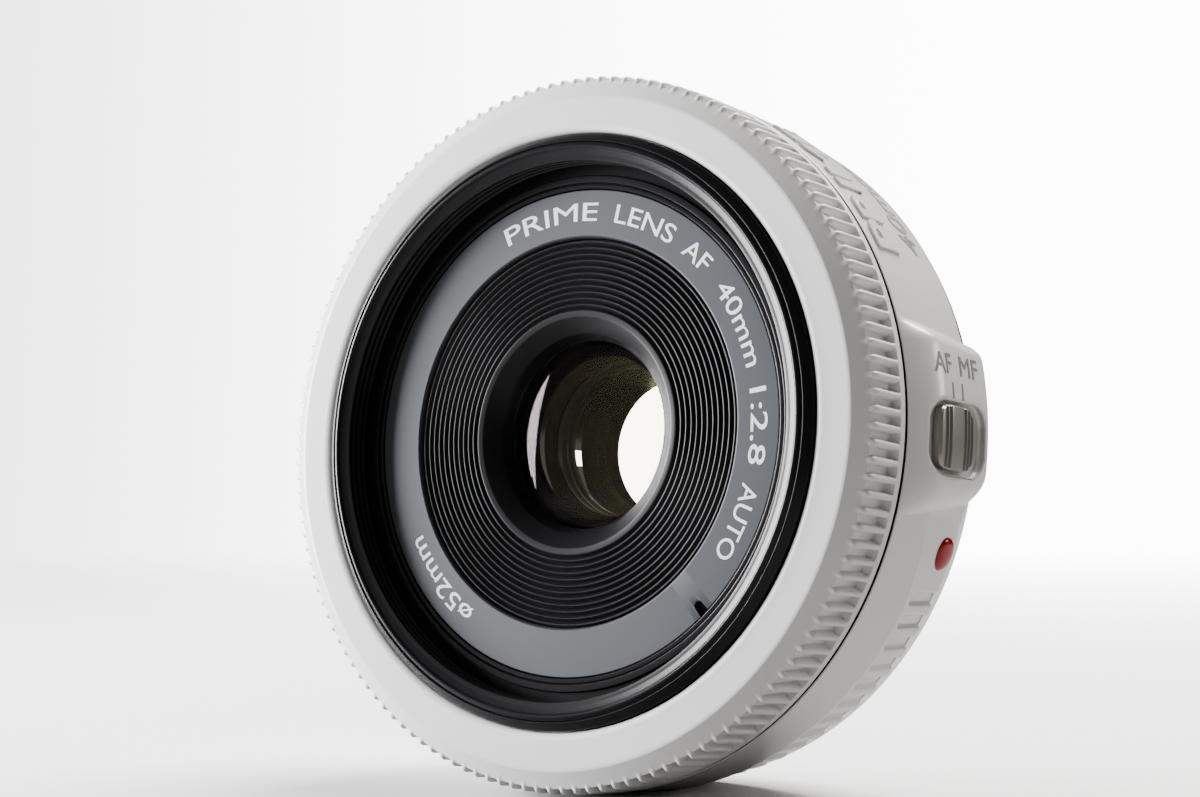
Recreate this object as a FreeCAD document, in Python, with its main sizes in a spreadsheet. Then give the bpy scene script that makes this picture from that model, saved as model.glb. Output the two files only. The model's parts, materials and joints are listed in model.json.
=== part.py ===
"""A flat autofocus prime lens, front towards -Y, with its flange on the plane Y = 0.

Places are given as (radius, forward): the distance from the optical axis and the distance in
front of the flange, so forward is minus Y. Angles go round from +X towards +Z. Millimetres.
"""
import FreeCAD, Part
import math
import os
import re
import Sketcher

SIZES = {
    # outer barrel
    "barrel_radius": 34.0,
    "barrel_bore": 32.3,
    "barrel_front": 15.65,
    "barrel_crease": 9.35,
    "barrel_rear_radius": 33.1,
    "plate_front": 1.5,
    "grip_width": 1.3,
    "boss_radius": 35.6,
    "boss_front": 15.4,
    "boss_ramp_end": 11.5,
    "dot_radius": 1.6,
    "dot_forward": 3.8,
    # focus and mode switch
    "slot_length": 11.1,
    "slot_width": 6.7,
    "slot_forward": 8.8,
    "knob_length": 6.6,
    "knob_width": 6.0,
    "knob_forward": 9.1,
    "knob_top": 35.85,
    # focus ring
    "ring_radius": 34.1,
    "ring_rear": 16.0,
    "ring_front": 22.1,
    "ring_bore": 28.35,
    "rib_count": 142,
    "rib_depth": 0.55,
    "rib_end": 16.9,
    "hub_bore": 30.46,
    # bayonet
    "mount_bore": 23.6,
    "neck_radius": 25.4,
    "neck_length": 5.2,
    "lug_radius": 27.0,
    "flange_inner": 27.4,
    "flange_radius": 32.6,
    "mount_screw_circle": 30.0,
    "lock_slot_circle": 29.8,
    # guide barrel and cam ring
    "guide_bore": 29.3,
    "guide_radius": 30.4,
    "guide_front": 20.6,
    "slot_breadth": 2.1,
    "pin_radius": 1.0,
    "pin_forward": 7.6,
    "focus_travel": 7.2,
    "cam_bore": 27.95,
    "cam_radius": 28.95,
    "cam_land": 29.22,
    "cam_rear": 2.7,
    "cam_front": 19.4,
    "cam_turn": 100.0,
    # drive
    "gear_module": 0.3,
    "cam_teeth": 180,
    "idler_teeth": 24,
    "motor_teeth": 12,
    "gear_rear": 3.0,
    "gear_front": 4.6,
    "idler_circle": 23.4,
    "motor_circle": 20.7,
    "motor_angle": 200.0,
    "idler_offset": 12.2,
    "motor_radius": 3.8,
    "motor_front": 12.0,
    # front unit
    "unit_radius": 27.45,
    "unit_bore": 26.3,
    "unit_front": 22.8,
    "unit_rear": 6.3,
    "thread_crest": 25.594,
    "thread_root": 26.0,
    "thread_pitch": 0.75,
    "web_front": 19.1,
    "web_rear": 18.3,
    "name_inner": 18.66,
    "name_outer": 23.26,
    "name_front": 19.7,
    "baffle_radius": 18.45,
    "baffle_front": 19.35,
    "crest_count": 12,
    "crest_pitch": 0.605,
    # iris
    "iris_rear": 8.2,
    "iris_radius": 15.6,
    "stop_radius": 7.0,
    "pivot_circle": 11.5,
    "stud_reach": 3.4,
    "stud_radius": 0.4,
    "blade_turn": 31.0,
    "iris_turn": 30.0,
    "blade_count": 7,
    "blade_thickness": 0.08,
    "blade_pitch": 0.12,
    "iris_gear_teeth": 104,
    "iris_pinion_teeth": 10,
    "post_circle": 17.6,
    "iris_motor_circle": 17.1,
    "iris_motor_angle": 90.0,
    # inside rear
    "board_outer": 23.2,
    "board_bore": 15.5,
    "board_rear": 0.6,
    "board_front": 1.4,
    "chassis_outer": 28.5,
    "chassis_bore": 16.6,
    "chassis_front": 2.6,
    "cover_radius": 23.4,
    "cover_rear": -4.0,
    "window_width": 25.0,
    "window_height": 19.0,
    "window_corner": 3.0,
    "contact_circle": 21.5,
    "contact_screw_circle": 21.45,
    "chassis_screw_circle": 25.2,
    "cover_screw_circle": 20.5,
    "leg_circle": 21.6,
    "chip_circle": 19.2,
}
GLASS = {
    # element: radius, front vertex, front curve, rear vertex, rear curve
    "front_element": (9.6, 17.4, 45.0, 15.0, 90.0),
    "doublet_front_positive": (7.9, 14.3, 40.0, 12.6, -60.0),
    "doublet_front_negative": (7.9, 12.58, -60.0, 11.6, 60.0),
    "doublet_rear_negative": (7.4, 7.3, -40.0, 6.52, 50.0),
    "doublet_rear_positive": (7.4, 6.5, 50.0, 4.6, -30.0),
    "rear_element": (9.3, 3.9, 80.0, 1.9, -50.0),
}
for element, numbers in GLASS.items():
    ends = ("_radius", "_front", "_front_curve", "_rear", "_rear_curve")
    for ending, number in zip(ends, numbers):
        SIZES[element + ending] = number

GRIP_ANGLES = [-25.5 - 4.16 * i for i in range(32)]
DOT_ANGLE = -17.5
NOTCH_ANGLE = -46.0
FLANGE_SCREW_ANGLES = (45.0, 135.0, 225.0, 315.0)
CHASSIS_SCREW_ANGLES = (30.0, 120.0, 290.0)
COVER_SCREW_ANGLES = (90.0, 162.0, 340.0)
CONTACT_SCREW_ANGLES = (-116.3, -63.7)
CONTACT_ANGLES = [-90 + 5.6 * (i - 3.5) for i in range(8)]
FOLLOWER_ANGLES = (90.0, 210.0, 330.0)
POST_ANGLES = (30.0, 150.0, 270.0)
PRESSURE_ANGLE = math.radians(20.0)

doc = FreeCAD.newDocument("prime_lens")
sheet = doc.addObject("Spreadsheet::Sheet", "Sizes")
nodes = []


def fill_sheet():
    """Write every driving dimension to the sheet as a plain number with its name."""
    for row, (name, number) in enumerate(SIZES.items(), start=1):
        sheet.set("A%d" % row, name)
        sheet.set("B%d" % row, str(number))
        sheet.setAlias("B%d" % row, name)
    doc.recompute()


def value(size):
    """The number that a size stands for: a number, or a sum of sheet names and numbers."""
    if not isinstance(size, str):
        return float(size)
    total = 0.0
    for term in size.replace(" ", "").replace("-", "+-").split("+"):
        if term:
            sign = -1.0 if term.startswith("-") else 1.0
            word = term.lstrip("-")
            total += sign * float(SIZES.get(word, None) or word)
    return total


def bind(target, prop, size):
    """Tie a property to the sheet, or set it where the size is a plain number."""
    if isinstance(size, str):
        target.setExpression(prop, re.sub(r"([a-z][a-z_]*)", r"Sizes.\1", size))


def vector(radius, angle, forward=0.0):
    """The point at a radius, an angle round the axis and a distance in front of the flange."""
    turn = math.radians(angle)
    return FreeCAD.Vector(radius * math.cos(turn), -forward, radius * math.sin(turn))


def about_axis(angle):
    """The rotation that carries +X to the given angle round the optical axis."""
    return FreeCAD.Rotation(FreeCAD.Vector(0, 1, 0), -angle)


def forward_place(radius, angle, forward):
    """A placement whose Z points forward, at a radius and an angle."""
    tilt = FreeCAD.Rotation(FreeCAD.Vector(1, 0, 0), 90)
    return FreeCAD.Placement(vector(radius, angle, forward), tilt)


def outward_place(radius, angle, forward):
    """A placement whose Z points away from the axis, Y to the rear and X round the barrel."""
    turn = FreeCAD.Rotation(FreeCAD.Vector(0, 1, 0), 90 - angle)
    return FreeCAD.Placement(vector(radius, angle, forward), turn)


def node(label, feature):
    """Name a finished sub-part."""
    feature.Label = label
    nodes.append(feature)
    return feature


def cylinder(name, radius, length, place):
    """A round bar along its placement's Z."""
    bar = doc.addObject("Part::Cylinder", name)
    bar.Radius = value(radius)
    bar.Height = value(length)
    bind(bar, "Radius", radius)
    bind(bar, "Height", length)
    bar.Placement = place
    return bar


def cone(name, low_radius, high_radius, length, place):
    """A cone along its placement's Z."""
    solid = doc.addObject("Part::Cone", name)
    solid.Radius1 = value(low_radius)
    solid.Radius2 = value(high_radius)
    solid.Height = value(length)
    bind(solid, "Radius1", low_radius)
    bind(solid, "Radius2", high_radius)
    bind(solid, "Height", length)
    solid.Placement = place
    return solid


def block(name, size_x, size_y, size_z, place, centred=True):
    """A box: centred in X and Y on its placement, and standing on it along Z."""
    box = doc.addObject("Part::Box", name)
    box.Length = value(size_x)
    box.Width = value(size_y)
    box.Height = value(size_z)
    bind(box, "Length", size_x)
    bind(box, "Width", size_y)
    bind(box, "Height", size_z)
    shift = FreeCAD.Vector(-value(size_x) / 2, -value(size_y) / 2, 0)
    if not centred:
        shift = FreeCAD.Vector(0, 0, 0)
    box.Placement = place.multiply(FreeCAD.Placement(shift, FreeCAD.Rotation()))
    return box


def stadium(name, length, width, depth, place):
    """A round-ended key whose long way is its placement's Y."""
    half = (value(length) - value(width)) / 2
    pieces = [block(name + "_middle", width, 2 * half, depth, place)]
    for side in (-1, 1):
        shift = FreeCAD.Placement(FreeCAD.Vector(0, side * half, 0), FreeCAD.Rotation())
        radius = value(width) / 2
        pieces.append(cylinder(name + "_end", radius, depth, place.multiply(shift)))
    return fuse(name, pieces)


def fuse(name, pieces):
    """One solid from pieces that meet."""
    joined = doc.addObject("Part::MultiFuse", name)
    joined.Shapes = pieces
    joined.Refine = True
    return joined


def group(name, pieces):
    """Separate solids that share one name."""
    kept = doc.addObject("Part::Compound", name)
    kept.Links = pieces
    return kept


def cut(name, base, tools):
    """The base with every tool taken away."""
    result = doc.addObject("Part::Cut", name)
    result.Base = base
    result.Tool = tools[0] if len(tools) == 1 else group(name + "_tools", tools)
    return result


def outline_sketch(body, name, outline, placement):
    """A closed outline of (radius, forward) points in a half-plane through the axis."""
    sketch = body.newObject("Sketcher::SketchObject", name)
    base = [item for item in body.Origin.OriginFeatures if item.Role == "XY_Plane"][0]
    sketch.AttachmentSupport = [(base, "")]
    sketch.MapMode = "FlatFace"
    sketch.AttachmentOffset = placement
    spots = [FreeCAD.Vector(value(radius), -value(forward), 0) for radius, forward in outline]
    count = len(spots)
    sides = [Part.LineSegment(spots[i], spots[(i + 1) % count]) for i in range(count)]
    sketch.addGeometry(sides)
    rules = [Sketcher.Constraint("Coincident", i, 2, (i + 1) % count, 1) for i in range(count)]
    for i, spot in enumerate(spots):
        rules.append(Sketcher.Constraint("DistanceX", -1, 1, i, 1, spot.x))
        rules.append(Sketcher.Constraint("DistanceY", -1, 1, i, 1, spot.y))
    sketch.addConstraint(rules)
    for i, (radius, forward) in enumerate(outline):
        bind(sketch, "Constraints[%d]" % (count + 2 * i), radius)
        if isinstance(forward, str):
            negative = "-(" + re.sub(r"([a-z][a-z_]*)", r"Sizes.\1", forward) + ")"
            sketch.setExpression("Constraints[%d]" % (count + 2 * i + 1), negative)
    return sketch


def turned(name, outline, start=None, sweep=360.0):
    """A body turned about the axis, all the way round or through sweep degrees from start."""
    body = doc.addObject("PartDesign::Body", name)
    last = 0.0 if start is None else start + sweep
    placement = FreeCAD.Placement(FreeCAD.Vector(), about_axis(last))
    sketch = outline_sketch(body, name + "_outline", outline, placement)
    turn = body.newObject("PartDesign::Revolution", name + "_turn")
    turn.Profile = sketch
    turn.ReferenceAxis = (sketch, ["V_Axis"])
    turn.Angle = sweep
    return body


def ring_outline(inner, outer, rear, front):
    """The four corners of a plain ring's section."""
    return [(inner, rear), (outer, rear), (outer, front), (inner, front)]


def lens_element(label):
    """A glass element between two spherical faces, from its own six sizes in the sheet.

    A curve is a face's radius, positive where the face bulges towards the front.
    """
    radius = label + "_radius"
    rear = label + "_rear"
    solid = cylinder(label + "_blank", radius, 9.0, forward_place(0, 0, value(rear) - 3.0))
    for side in ("front", "rear"):
        curve = label + "_" + side + "_curve"
        bulge = value(curve)
        sphere = doc.addObject("Part::Sphere", label + "_" + side + "_sphere")
        sphere.Radius = abs(bulge)
        sphere.setExpression("Radius", "abs(Sizes." + curve + ")")
        centre = value(label + "_" + side) - bulge
        sphere.Placement = FreeCAD.Placement(vector(0, 0, centre), FreeCAD.Rotation())
        outward = bulge > 0 if side == "front" else bulge < 0
        if outward:
            common = doc.addObject("Part::MultiCommon", label + "_" + side + "_face")
            common.Shapes = [solid, sphere]
            solid = common
        else:
            solid = cut(label + "_" + side + "_face", solid, [sphere])
    return node(label, solid)


def screw(name, head_radius, head_height, shank_radius, head_at, tip_at, radius, angle,
          countersunk=False):
    """A cross-head screw along the axis, from its tip to the top of its head."""
    towards_rear = value(head_at) < value(tip_at)
    tilt = FreeCAD.Rotation(FreeCAD.Vector(1, 0, 0), -90 if towards_rear else 90)
    place = FreeCAD.Placement(vector(value(radius), angle, value(tip_at)), tilt)
    length = abs(value(head_at) - value(tip_at))

    def up(height, turn=0.0):
        lift = FreeCAD.Placement(FreeCAD.Vector(0, 0, height),
                                 FreeCAD.Rotation(FreeCAD.Vector(0, 0, 1), turn))
        return place.multiply(lift)

    shank = cylinder(name + "_shank", shank_radius, length - head_height / 2, place)
    if countersunk:
        head = cone(name + "_head", shank_radius, head_radius, head_height,
                    up(length - head_height))
    else:
        head = cylinder(name + "_head", head_radius, head_height, up(length - head_height))
    depth = 0.6 * head_height
    slots = [block(name + "_slot", 1.3 * head_radius, 0.26 * head_radius, 2 * depth,
                   up(length - depth, turn)) for turn in (45.0, 135.0)]
    return cut(name, fuse(name + "_solid", [shank, head]), slots)


def involute(angle):
    return math.tan(angle) - angle


def tooth_outline(teeth, module, tip, root, thickening, steps, first=0, count=None):
    """Corners of a gear's teeth round its own centre, with involute flanks.

    thickening is added to the tooth's width at the pitch circle; negative gives backlash.
    """
    pitch_radius = teeth * module / 2
    base_radius = pitch_radius * math.cos(PRESSURE_ANGLE)
    half_pitch = math.pi / (2 * teeth) + thickening / (2 * pitch_radius)
    corners = []
    for tooth in range(first, first + (count or teeth)):
        middle = 2 * math.pi * tooth / teeth
        flank = []
        for i in range(steps + 1):
            radius = root + (tip - root) * i / steps
            pressure = math.acos(min(1.0, base_radius / max(radius, base_radius)))
            half = half_pitch + involute(PRESSURE_ANGLE) - involute(pressure)
            flank.append((radius, half))
        corners += [(radius, middle - half) for radius, half in flank]
        corners += [(radius, middle + half) for radius, half in reversed(flank)]
    return [(radius * math.cos(turn), radius * math.sin(turn)) for radius, turn in corners]


def prism(corners, rear, front, centre_x=0.0, centre_z=0.0, turn=0.0):
    """A solid from corners in the plane across the axis, between two forward distances."""
    spin = math.radians(turn)
    points = []
    for across, up in corners:
        x = centre_x + across * math.cos(spin) - up * math.sin(spin)
        z = centre_z + across * math.sin(spin) + up * math.cos(spin)
        points.append(FreeCAD.Vector(x, -rear, z))
    face = Part.Face(Part.makePolygon(points + points[:1]))
    return face.extrude(FreeCAD.Vector(0, rear - front, 0))


def shaped(label, shape):
    """A sub-part whose shape comes from a formula that no feature has."""
    feature = doc.addObject("Part::Feature", label)
    feature.Shape = shape
    return feature


def plain_gear(label, teeth, module, bore, rear, front, radius, angle, turn):
    """An outside gear with a round bore, one tooth centred on turn."""
    pitch_radius = teeth * module / 2
    corners = tooth_outline(teeth, module, pitch_radius + 0.9 * module,
                            pitch_radius - 1.2 * module, -0.08, 3)
    middle = vector(radius, angle)
    gear = prism(corners, rear, front, middle.x, middle.z, turn)
    if bore:
        hole = Part.makeCylinder(bore, 20, vector(radius, angle, -5), FreeCAD.Vector(0, -1, 0))
        gear = gear.cut(hole)
    return shaped(label, gear)


# ---------------------------------------------------------------- fixed parts

def make_outer_barrel():
    wall = turned("barrel_wall", [
        ("barrel_bore", "plate_front + 0.8"),
        (28.6, "plate_front + 0.8"),
        (28.6, "plate_front"),
        ("barrel_rear_radius - 0.25", "plate_front"),
        ("barrel_rear_radius", "plate_front + 0.25"),
        ("barrel_radius - 0.03", "barrel_crease"),
        ("barrel_radius", "barrel_crease + 0.2"),
        ("barrel_radius", "barrel_front - 0.2"),
        ("barrel_radius - 0.2", "barrel_front"),
        ("barrel_bore", "barrel_front"),
    ])
    boss = turned("boss_blank", [
        (33.0, "plate_front + 0.02"),
        ("boss_radius - 0.2", "plate_front + 0.02"),
        ("boss_radius", "plate_front + 0.22"),
        ("boss_radius", "boss_ramp_end"),
        ("barrel_radius", "boss_front"),
        (33.0, "boss_front"),
    ], -12.5, 32.0)
    sides = []
    for name, angle, narrowing, slope in (("upper", 18.0, -3.6, 50.0), ("lower", -11.5, 7.2, -50.0)):
        turn = FreeCAD.Rotation(FreeCAD.Vector(0, 0, 1), narrowing)
        lean = FreeCAD.Rotation(FreeCAD.Vector(0, 1, 0), slope)
        place = outward_place(value("barrel_radius") - 0.4, angle, value("boss_front"))
        place = place.multiply(FreeCAD.Placement(FreeCAD.Vector(), turn.multiply(lean)))
        shift = -8.0 if name == "upper" else 0.0
        place = place.multiply(FreeCAD.Placement(FreeCAD.Vector(shift, -4.0, -4.0),
                                                 FreeCAD.Rotation()))
        sides.append(block("boss_side_" + name, 8, 26, 12, place, centred=False))
    solid = fuse("barrel_solid", [wall, cut("boss", boss, sides)])
    tools = [stadium("switch_slot", "slot_length", "slot_width", 3,
                     outward_place(value("boss_radius") - 1.25, 0, value("slot_forward"))),
             stadium("stem_slot", 6.0, 2.6, 6,
                     outward_place(31.5, 0, value("slot_forward") - 0.6)),
             cylinder("dot_seat", "dot_radius", 3,
                      outward_place(32.95, DOT_ANGLE, value("dot_forward")))]
    lean = FreeCAD.Rotation(FreeCAD.Vector(1, 0, 0), 6.5)
    for angle in GRIP_ANGLES:
        place = outward_place(33.24, angle, 3.2)
        place = place.multiply(FreeCAD.Placement(FreeCAD.Vector(), lean))
        tools.append(stadium("grip", 8.9, "grip_width", 2, place))
    for angle in FLANGE_SCREW_ANGLES:
        tools.append(cylinder("flange_hole", 0.8, 3,
                              forward_place(value("mount_screw_circle"), angle, 1.0)))
    return node("outer_barrel", cut("barrel_cut", solid, tools))


def make_index_dot():
    peg = cylinder("dot_peg", "dot_radius", 1.2,
                   outward_place(32.95, DOT_ANGLE, value("dot_forward")))
    dome = doc.addObject("Part::Sphere", "dot_dome")
    dome.Radius = 4.0
    dome.Placement = FreeCAD.Placement(vector(29.8, DOT_ANGLE, value("dot_forward")),
                                       FreeCAD.Rotation())
    common = doc.addObject("Part::MultiCommon", "dot")
    common.Shapes = [peg, dome]
    return node("index_dot", common)


def make_mount_plate():
    plate = turned("mount_blank", [
        ("mount_bore", "-neck_length"),
        ("neck_radius - 0.3", "-neck_length"),
        ("neck_radius", "0.3 - neck_length"),
        ("neck_radius", 0.3),
        ("flange_inner", 0.3),
        ("flange_inner", 0),
        ("flange_radius - 0.15", 0),
        ("flange_radius", 0.15),
        ("flange_radius", "plate_front"),
        ("mount_bore", "plate_front"),
    ])
    lugs = [turned("lug", [
        ("neck_radius - 0.4", -3.2),
        ("lug_radius - 0.2", -3.2),
        ("lug_radius", -3.0),
        ("lug_radius", -1.7),
        ("neck_radius - 0.4", -1.7),
    ], start, sweep) for start, sweep in ((20.0, 56.0), (142.0, 50.0), (258.0, 58.0))]
    tools = []
    for angle in FLANGE_SCREW_ANGLES:
        circle = value("mount_screw_circle")
        tools.append(cylinder("mount_hole", 0.8, 3, forward_place(circle, angle, -1)))
        tools.append(cone("mount_sink", 1.6, 0.8, 0.8, forward_place(circle, angle, 0)))
    tools.append(stadium("lock_slot", 3.4, 2.0, 3, forward_place(value("lock_slot_circle"), 178.0, -1)))
    return node("mount_plate", cut("mount_cut", fuse("mount_solid", [plate] + lugs), tools))


def make_mount_screws():
    screws = [screw("mount_screw", 1.6, 0.8, 0.8, 0.0, 3.0, "mount_screw_circle", angle, True)
              for angle in FLANGE_SCREW_ANGLES]
    return node("mount_screws", group("mount_screw_group", screws))


def make_guide_barrel():
    tube = turned("guide_tube", [
        ("guide_bore", "plate_front + 0.8"),
        (31.9, "plate_front + 0.8"),
        (31.9, "plate_front + 1.6"),
        ("guide_radius", "plate_front + 1.6"),
        ("guide_radius", 16.5),
        ("guide_radius - 0.4", 16.5),
        ("guide_radius - 0.4", 16.85),
        ("guide_radius", 16.85),
        ("guide_radius", "guide_front - 0.2"),
        ("guide_radius - 0.2", "guide_front"),
        (27.75, "guide_front"),
        (27.75, "guide_front - 1"),
        ("guide_bore", "guide_front - 1"),
    ])
    tools = [stadium("straight_slot", 9.6, "slot_breadth", 4, outward_place(28.5, angle, 11.2))
             for angle in FOLLOWER_ANGLES]
    tools += [cylinder("guide_hole", 0.8, 3,
                       forward_place(value("mount_screw_circle"), angle, 0))
              for angle in FLANGE_SCREW_ANGLES]
    return node("guide_barrel", cut("guide_cut", tube, tools))


def make_ring_bearings():
    washer = turned("washer_body", ring_outline(28.6, 30.2, "guide_front", "guide_front + 0.22"))
    node("ring_slip_washer", washer)
    clip = turned("clip_body", ring_outline("guide_radius - 0.4", 31.2, 16.52, 16.82), 100, 340)
    node("ring_retaining_clip", clip)


def make_chassis_plate():
    plate = turned("chassis_blank",
                   ring_outline("chassis_bore", "chassis_outer", "plate_front", "chassis_front"))
    middle = vector(value("idler_circle"), motor_to_idler())
    tools = [cylinder("post_hole", 0.7, 3, FreeCAD.Placement(
        middle, FreeCAD.Rotation(FreeCAD.Vector(1, 0, 0), 90)))]
    tools += [cylinder("chassis_hole", 0.5, 3, forward_place(value("chassis_screw_circle"), angle, 0.8))
              for angle in CHASSIS_SCREW_ANGLES]
    tools += [cylinder("cover_hole", 0.5, 3, forward_place(value("cover_screw_circle"), angle, 0))
              for angle in COVER_SCREW_ANGLES]
    tools += [cylinder("leg_hole", 0.5, 3, forward_place(value("leg_circle"), angle, 0.8))
              for angle in bracket_leg_angles()]
    return node("chassis_plate", cut("chassis_cut", plate, tools))


def make_chassis_screws():
    screws = [screw("chassis_screw", 0.95, 0.5, 0.5, "chassis_front + 0.5", "plate_front + 0.05",
                    "chassis_screw_circle", angle) for angle in CHASSIS_SCREW_ANGLES]
    return node("chassis_screws", group("chassis_screw_group", screws))


def make_circuit_board():
    board = turned("board_blank",
                   ring_outline("board_bore", "board_outer", "board_rear", "board_front"))
    tools = [cylinder("board_hole", 0.5, 3, forward_place(value("cover_screw_circle"), angle, 0))
             for angle in COVER_SCREW_ANGLES]
    tools += [block("board_notch", 3, 3, 3, outward_place(22.4, angle, 1.0)) for angle in (20.0, 215.0)]
    node("main_circuit_board", cut("board_cut", board, tools))
    chips = []
    for angle, wide, tall in ((0.0, 4.6, 4.6), (42.0, 3.0, 2.2), (66.0, 2.0, 1.2), (118.0, 2.6, 3.6),
                              (140.0, 1.6, 0.9), (188.0, 4.0, 4.0), (222.0, 2.2, 1.2)):
        place = forward_place(value("chip_circle"), angle, value("board_rear") - 0.9)
        spin = FreeCAD.Placement(FreeCAD.Vector(), FreeCAD.Rotation(FreeCAD.Vector(0, 0, 1), angle))
        chips.append(block("chip", wide, tall, 0.9, place.multiply(spin)))
    node("board_chips", group("chip_group", chips))


def make_rear_cover():
    shell = turned("cover_shell", [
        ("cover_radius - 1.2", 0.4),
        ("cover_radius - 1.2", "cover_rear + 1"),
        (6.0, "cover_rear + 1"),
        (6.0, "cover_rear"),
        ("cover_radius - 0.3", "cover_rear"),
        ("cover_radius", "cover_rear + 0.3"),
        ("cover_radius", 0.4),
    ])
    posts = [cylinder("cover_post", 1.3, "board_rear - cover_rear - 0.5",
                      forward_place(value("cover_screw_circle"), angle, value("cover_rear") + 0.5))
             for angle in COVER_SCREW_ANGLES]
    corner = value("window_corner")
    half_width = value("window_width") / 2 - corner
    half_height = value("window_height") / 2 - corner
    window = [block("window_wide", "window_width", 2 * half_height, 6, forward_place(0, 0, -6)),
              block("window_tall", 2 * half_width, "window_height", 6, forward_place(0, 0, -6))]
    for side in (-1, 1):
        for level in (-1, 1):
            spot = FreeCAD.Vector(side * half_width, 6, level * half_height)
            tilt = FreeCAD.Rotation(FreeCAD.Vector(1, 0, 0), 90)
            place = FreeCAD.Placement(spot, tilt)
            window.append(cylinder("window_corner_cut", "window_corner", 6, place))
    gap = turned("contact_gap", ring_outline(19.3, 24.5, -6, 1), -121.5, 63.0)
    holes = [cylinder("cover_screw_hole", 0.5, 8, forward_place(value("cover_screw_circle"), angle, -5))
             for angle in COVER_SCREW_ANGLES]
    solid = fuse("cover_solid", [shell] + posts)
    return node("rear_cover", cut("cover_cut", solid, window + [gap] + holes))


def make_rear_cover_screws():
    screws = [screw("cover_screw", 1.15, 0.55, 0.5, "cover_rear - 0.55", 2.4,
                    "cover_screw_circle", angle)
              for angle in COVER_SCREW_ANGLES]
    return node("rear_cover_screws", group("cover_screw_group", screws))


def make_contact_block():
    blank = turned("contact_blank", ring_outline(19.6, 23.3, -5.0, "board_rear"), -120.0, 60.0)
    tools = [cylinder("pin_hole", 0.7, 1.2,
                      forward_place(value("contact_circle"), angle, -5.2))
             for angle in CONTACT_ANGLES]
    for angle in CONTACT_SCREW_ANGLES:
        place = forward_place(value("contact_screw_circle"), angle, -5.5)
        tools.append(cylinder("contact_sink", 1.1, 1.5, place))
        tools.append(cylinder("contact_hole", 0.5, 8, place))
    return node("contact_block", cut("contact_cut", blank, tools))


def make_contact_details():
    pins = [cylinder("contact_pin", 0.7, 1.3,
                     forward_place(value("contact_circle"), angle, -5.3))
            for angle in CONTACT_ANGLES]
    node("contact_pins", group("contact_pin_group", pins))
    screws = [screw("contact_screw", 1.0, 0.5, 0.5, -4.55, 0.5, "contact_screw_circle", angle)
              for angle in CONTACT_SCREW_ANGLES]
    node("contact_block_screws", group("contact_screw_group", screws))


def motor_to_idler():
    return value("motor_angle") + value("idler_offset")


def bracket_leg_angles():
    return (value("motor_angle") - 14.5, motor_to_idler() + 16.0)


def make_motor_parts():
    angle = value("motor_angle")
    can = cylinder("motor_can", "motor_radius", "motor_front - 5.3",
                   forward_place(value("motor_circle"), angle, 5.3))
    ends = [block("terminal", 0.7, 0.25, 1.2, forward_place(value("motor_circle") + side, angle,
                                                            value("motor_front") - 0.1))
            for side in (-1.5, 1.5)]
    bore = cylinder("motor_bore", 0.46, 1.0, forward_place(value("motor_circle"), angle, 5.0))
    node("focus_motor", cut("motor_cut", fuse("motor_solid", [can] + ends), [bore]))
    first, last = bracket_leg_angles()
    plate = turned("bracket_plate", ring_outline(17.9, 25.2, 4.8, 5.3), first - 3.6, last - first + 7.2)
    legs = [cylinder("bracket_leg", 0.95, "5.0 - chassis_front",
                     forward_place(value("leg_circle"), leg, value("chassis_front")))
            for leg in (first, last)]
    holes = [cylinder("leg_screw_hole", 0.5, 5, forward_place(value("leg_circle"), leg, 1))
             for leg in (first, last)]
    holes.append(cylinder("shaft_hole", 0.9, 2, forward_place(value("motor_circle"), angle, 4)))
    holes.append(cylinder("post_top_hole", 0.7, 2,
                          forward_place(value("idler_circle"), motor_to_idler(), 4)))
    node("motor_bracket", cut("bracket_cut", fuse("bracket_solid", [plate] + legs), holes))
    screws = [screw("bracket_screw", 0.95, 0.5, 0.5, 5.8, 2.0, "leg_circle", leg)
              for leg in (first, last)]
    node("motor_bracket_screws", group("bracket_screw_group", screws))
    node("idler_post", cylinder("post", 0.7, "5.2 - plate_front",
                                forward_place(value("idler_circle"), motor_to_idler(), 1.5)))


def make_ring_sensor():
    case = block("sensor_case", 3.6, 2.6, 0.7, outward_place(30.45, 150.0, 14.9))
    return node("ring_sensor", case)


def make_switch():
    base = block("switch_board", 5.4, 9.0, 0.35, outward_place(30.5, 0, value("slot_forward")))
    node("switch_base", base)
    place = outward_place(30.98, 0, value("knob_forward"))
    plate = block("slider_plate", 4.6, 4.4, 0.9, place)
    node("switch_slider", plate)
    stem = stadium("knob_stem", 3.6, 2.2, 3.2, outward_place(31.88, 0, value("knob_forward")))
    cap = stadium("knob_cap_blank", "knob_length", "knob_width", "knob_top - 34.5",
                  outward_place(34.5, 0, value("knob_forward")))
    square = block("knob_cap_square", 5.0, 5.0, "knob_top - 34.5",
                   outward_place(34.5, 0, value("knob_forward")))
    solid = fuse("knob_solid", [stem, cap, square])
    grooves = [block("knob_groove", 8, 0.36, 1.0,
                     outward_place(value("knob_top") - 0.3, 0, value("knob_forward") + shift))
               for shift in (2.5, 1.8, -1.1, -1.8, -2.5)]
    node("switch_knob", cut("knob_cut", solid, grooves))


# ---------------------------------------------------------------- moving parts

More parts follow.
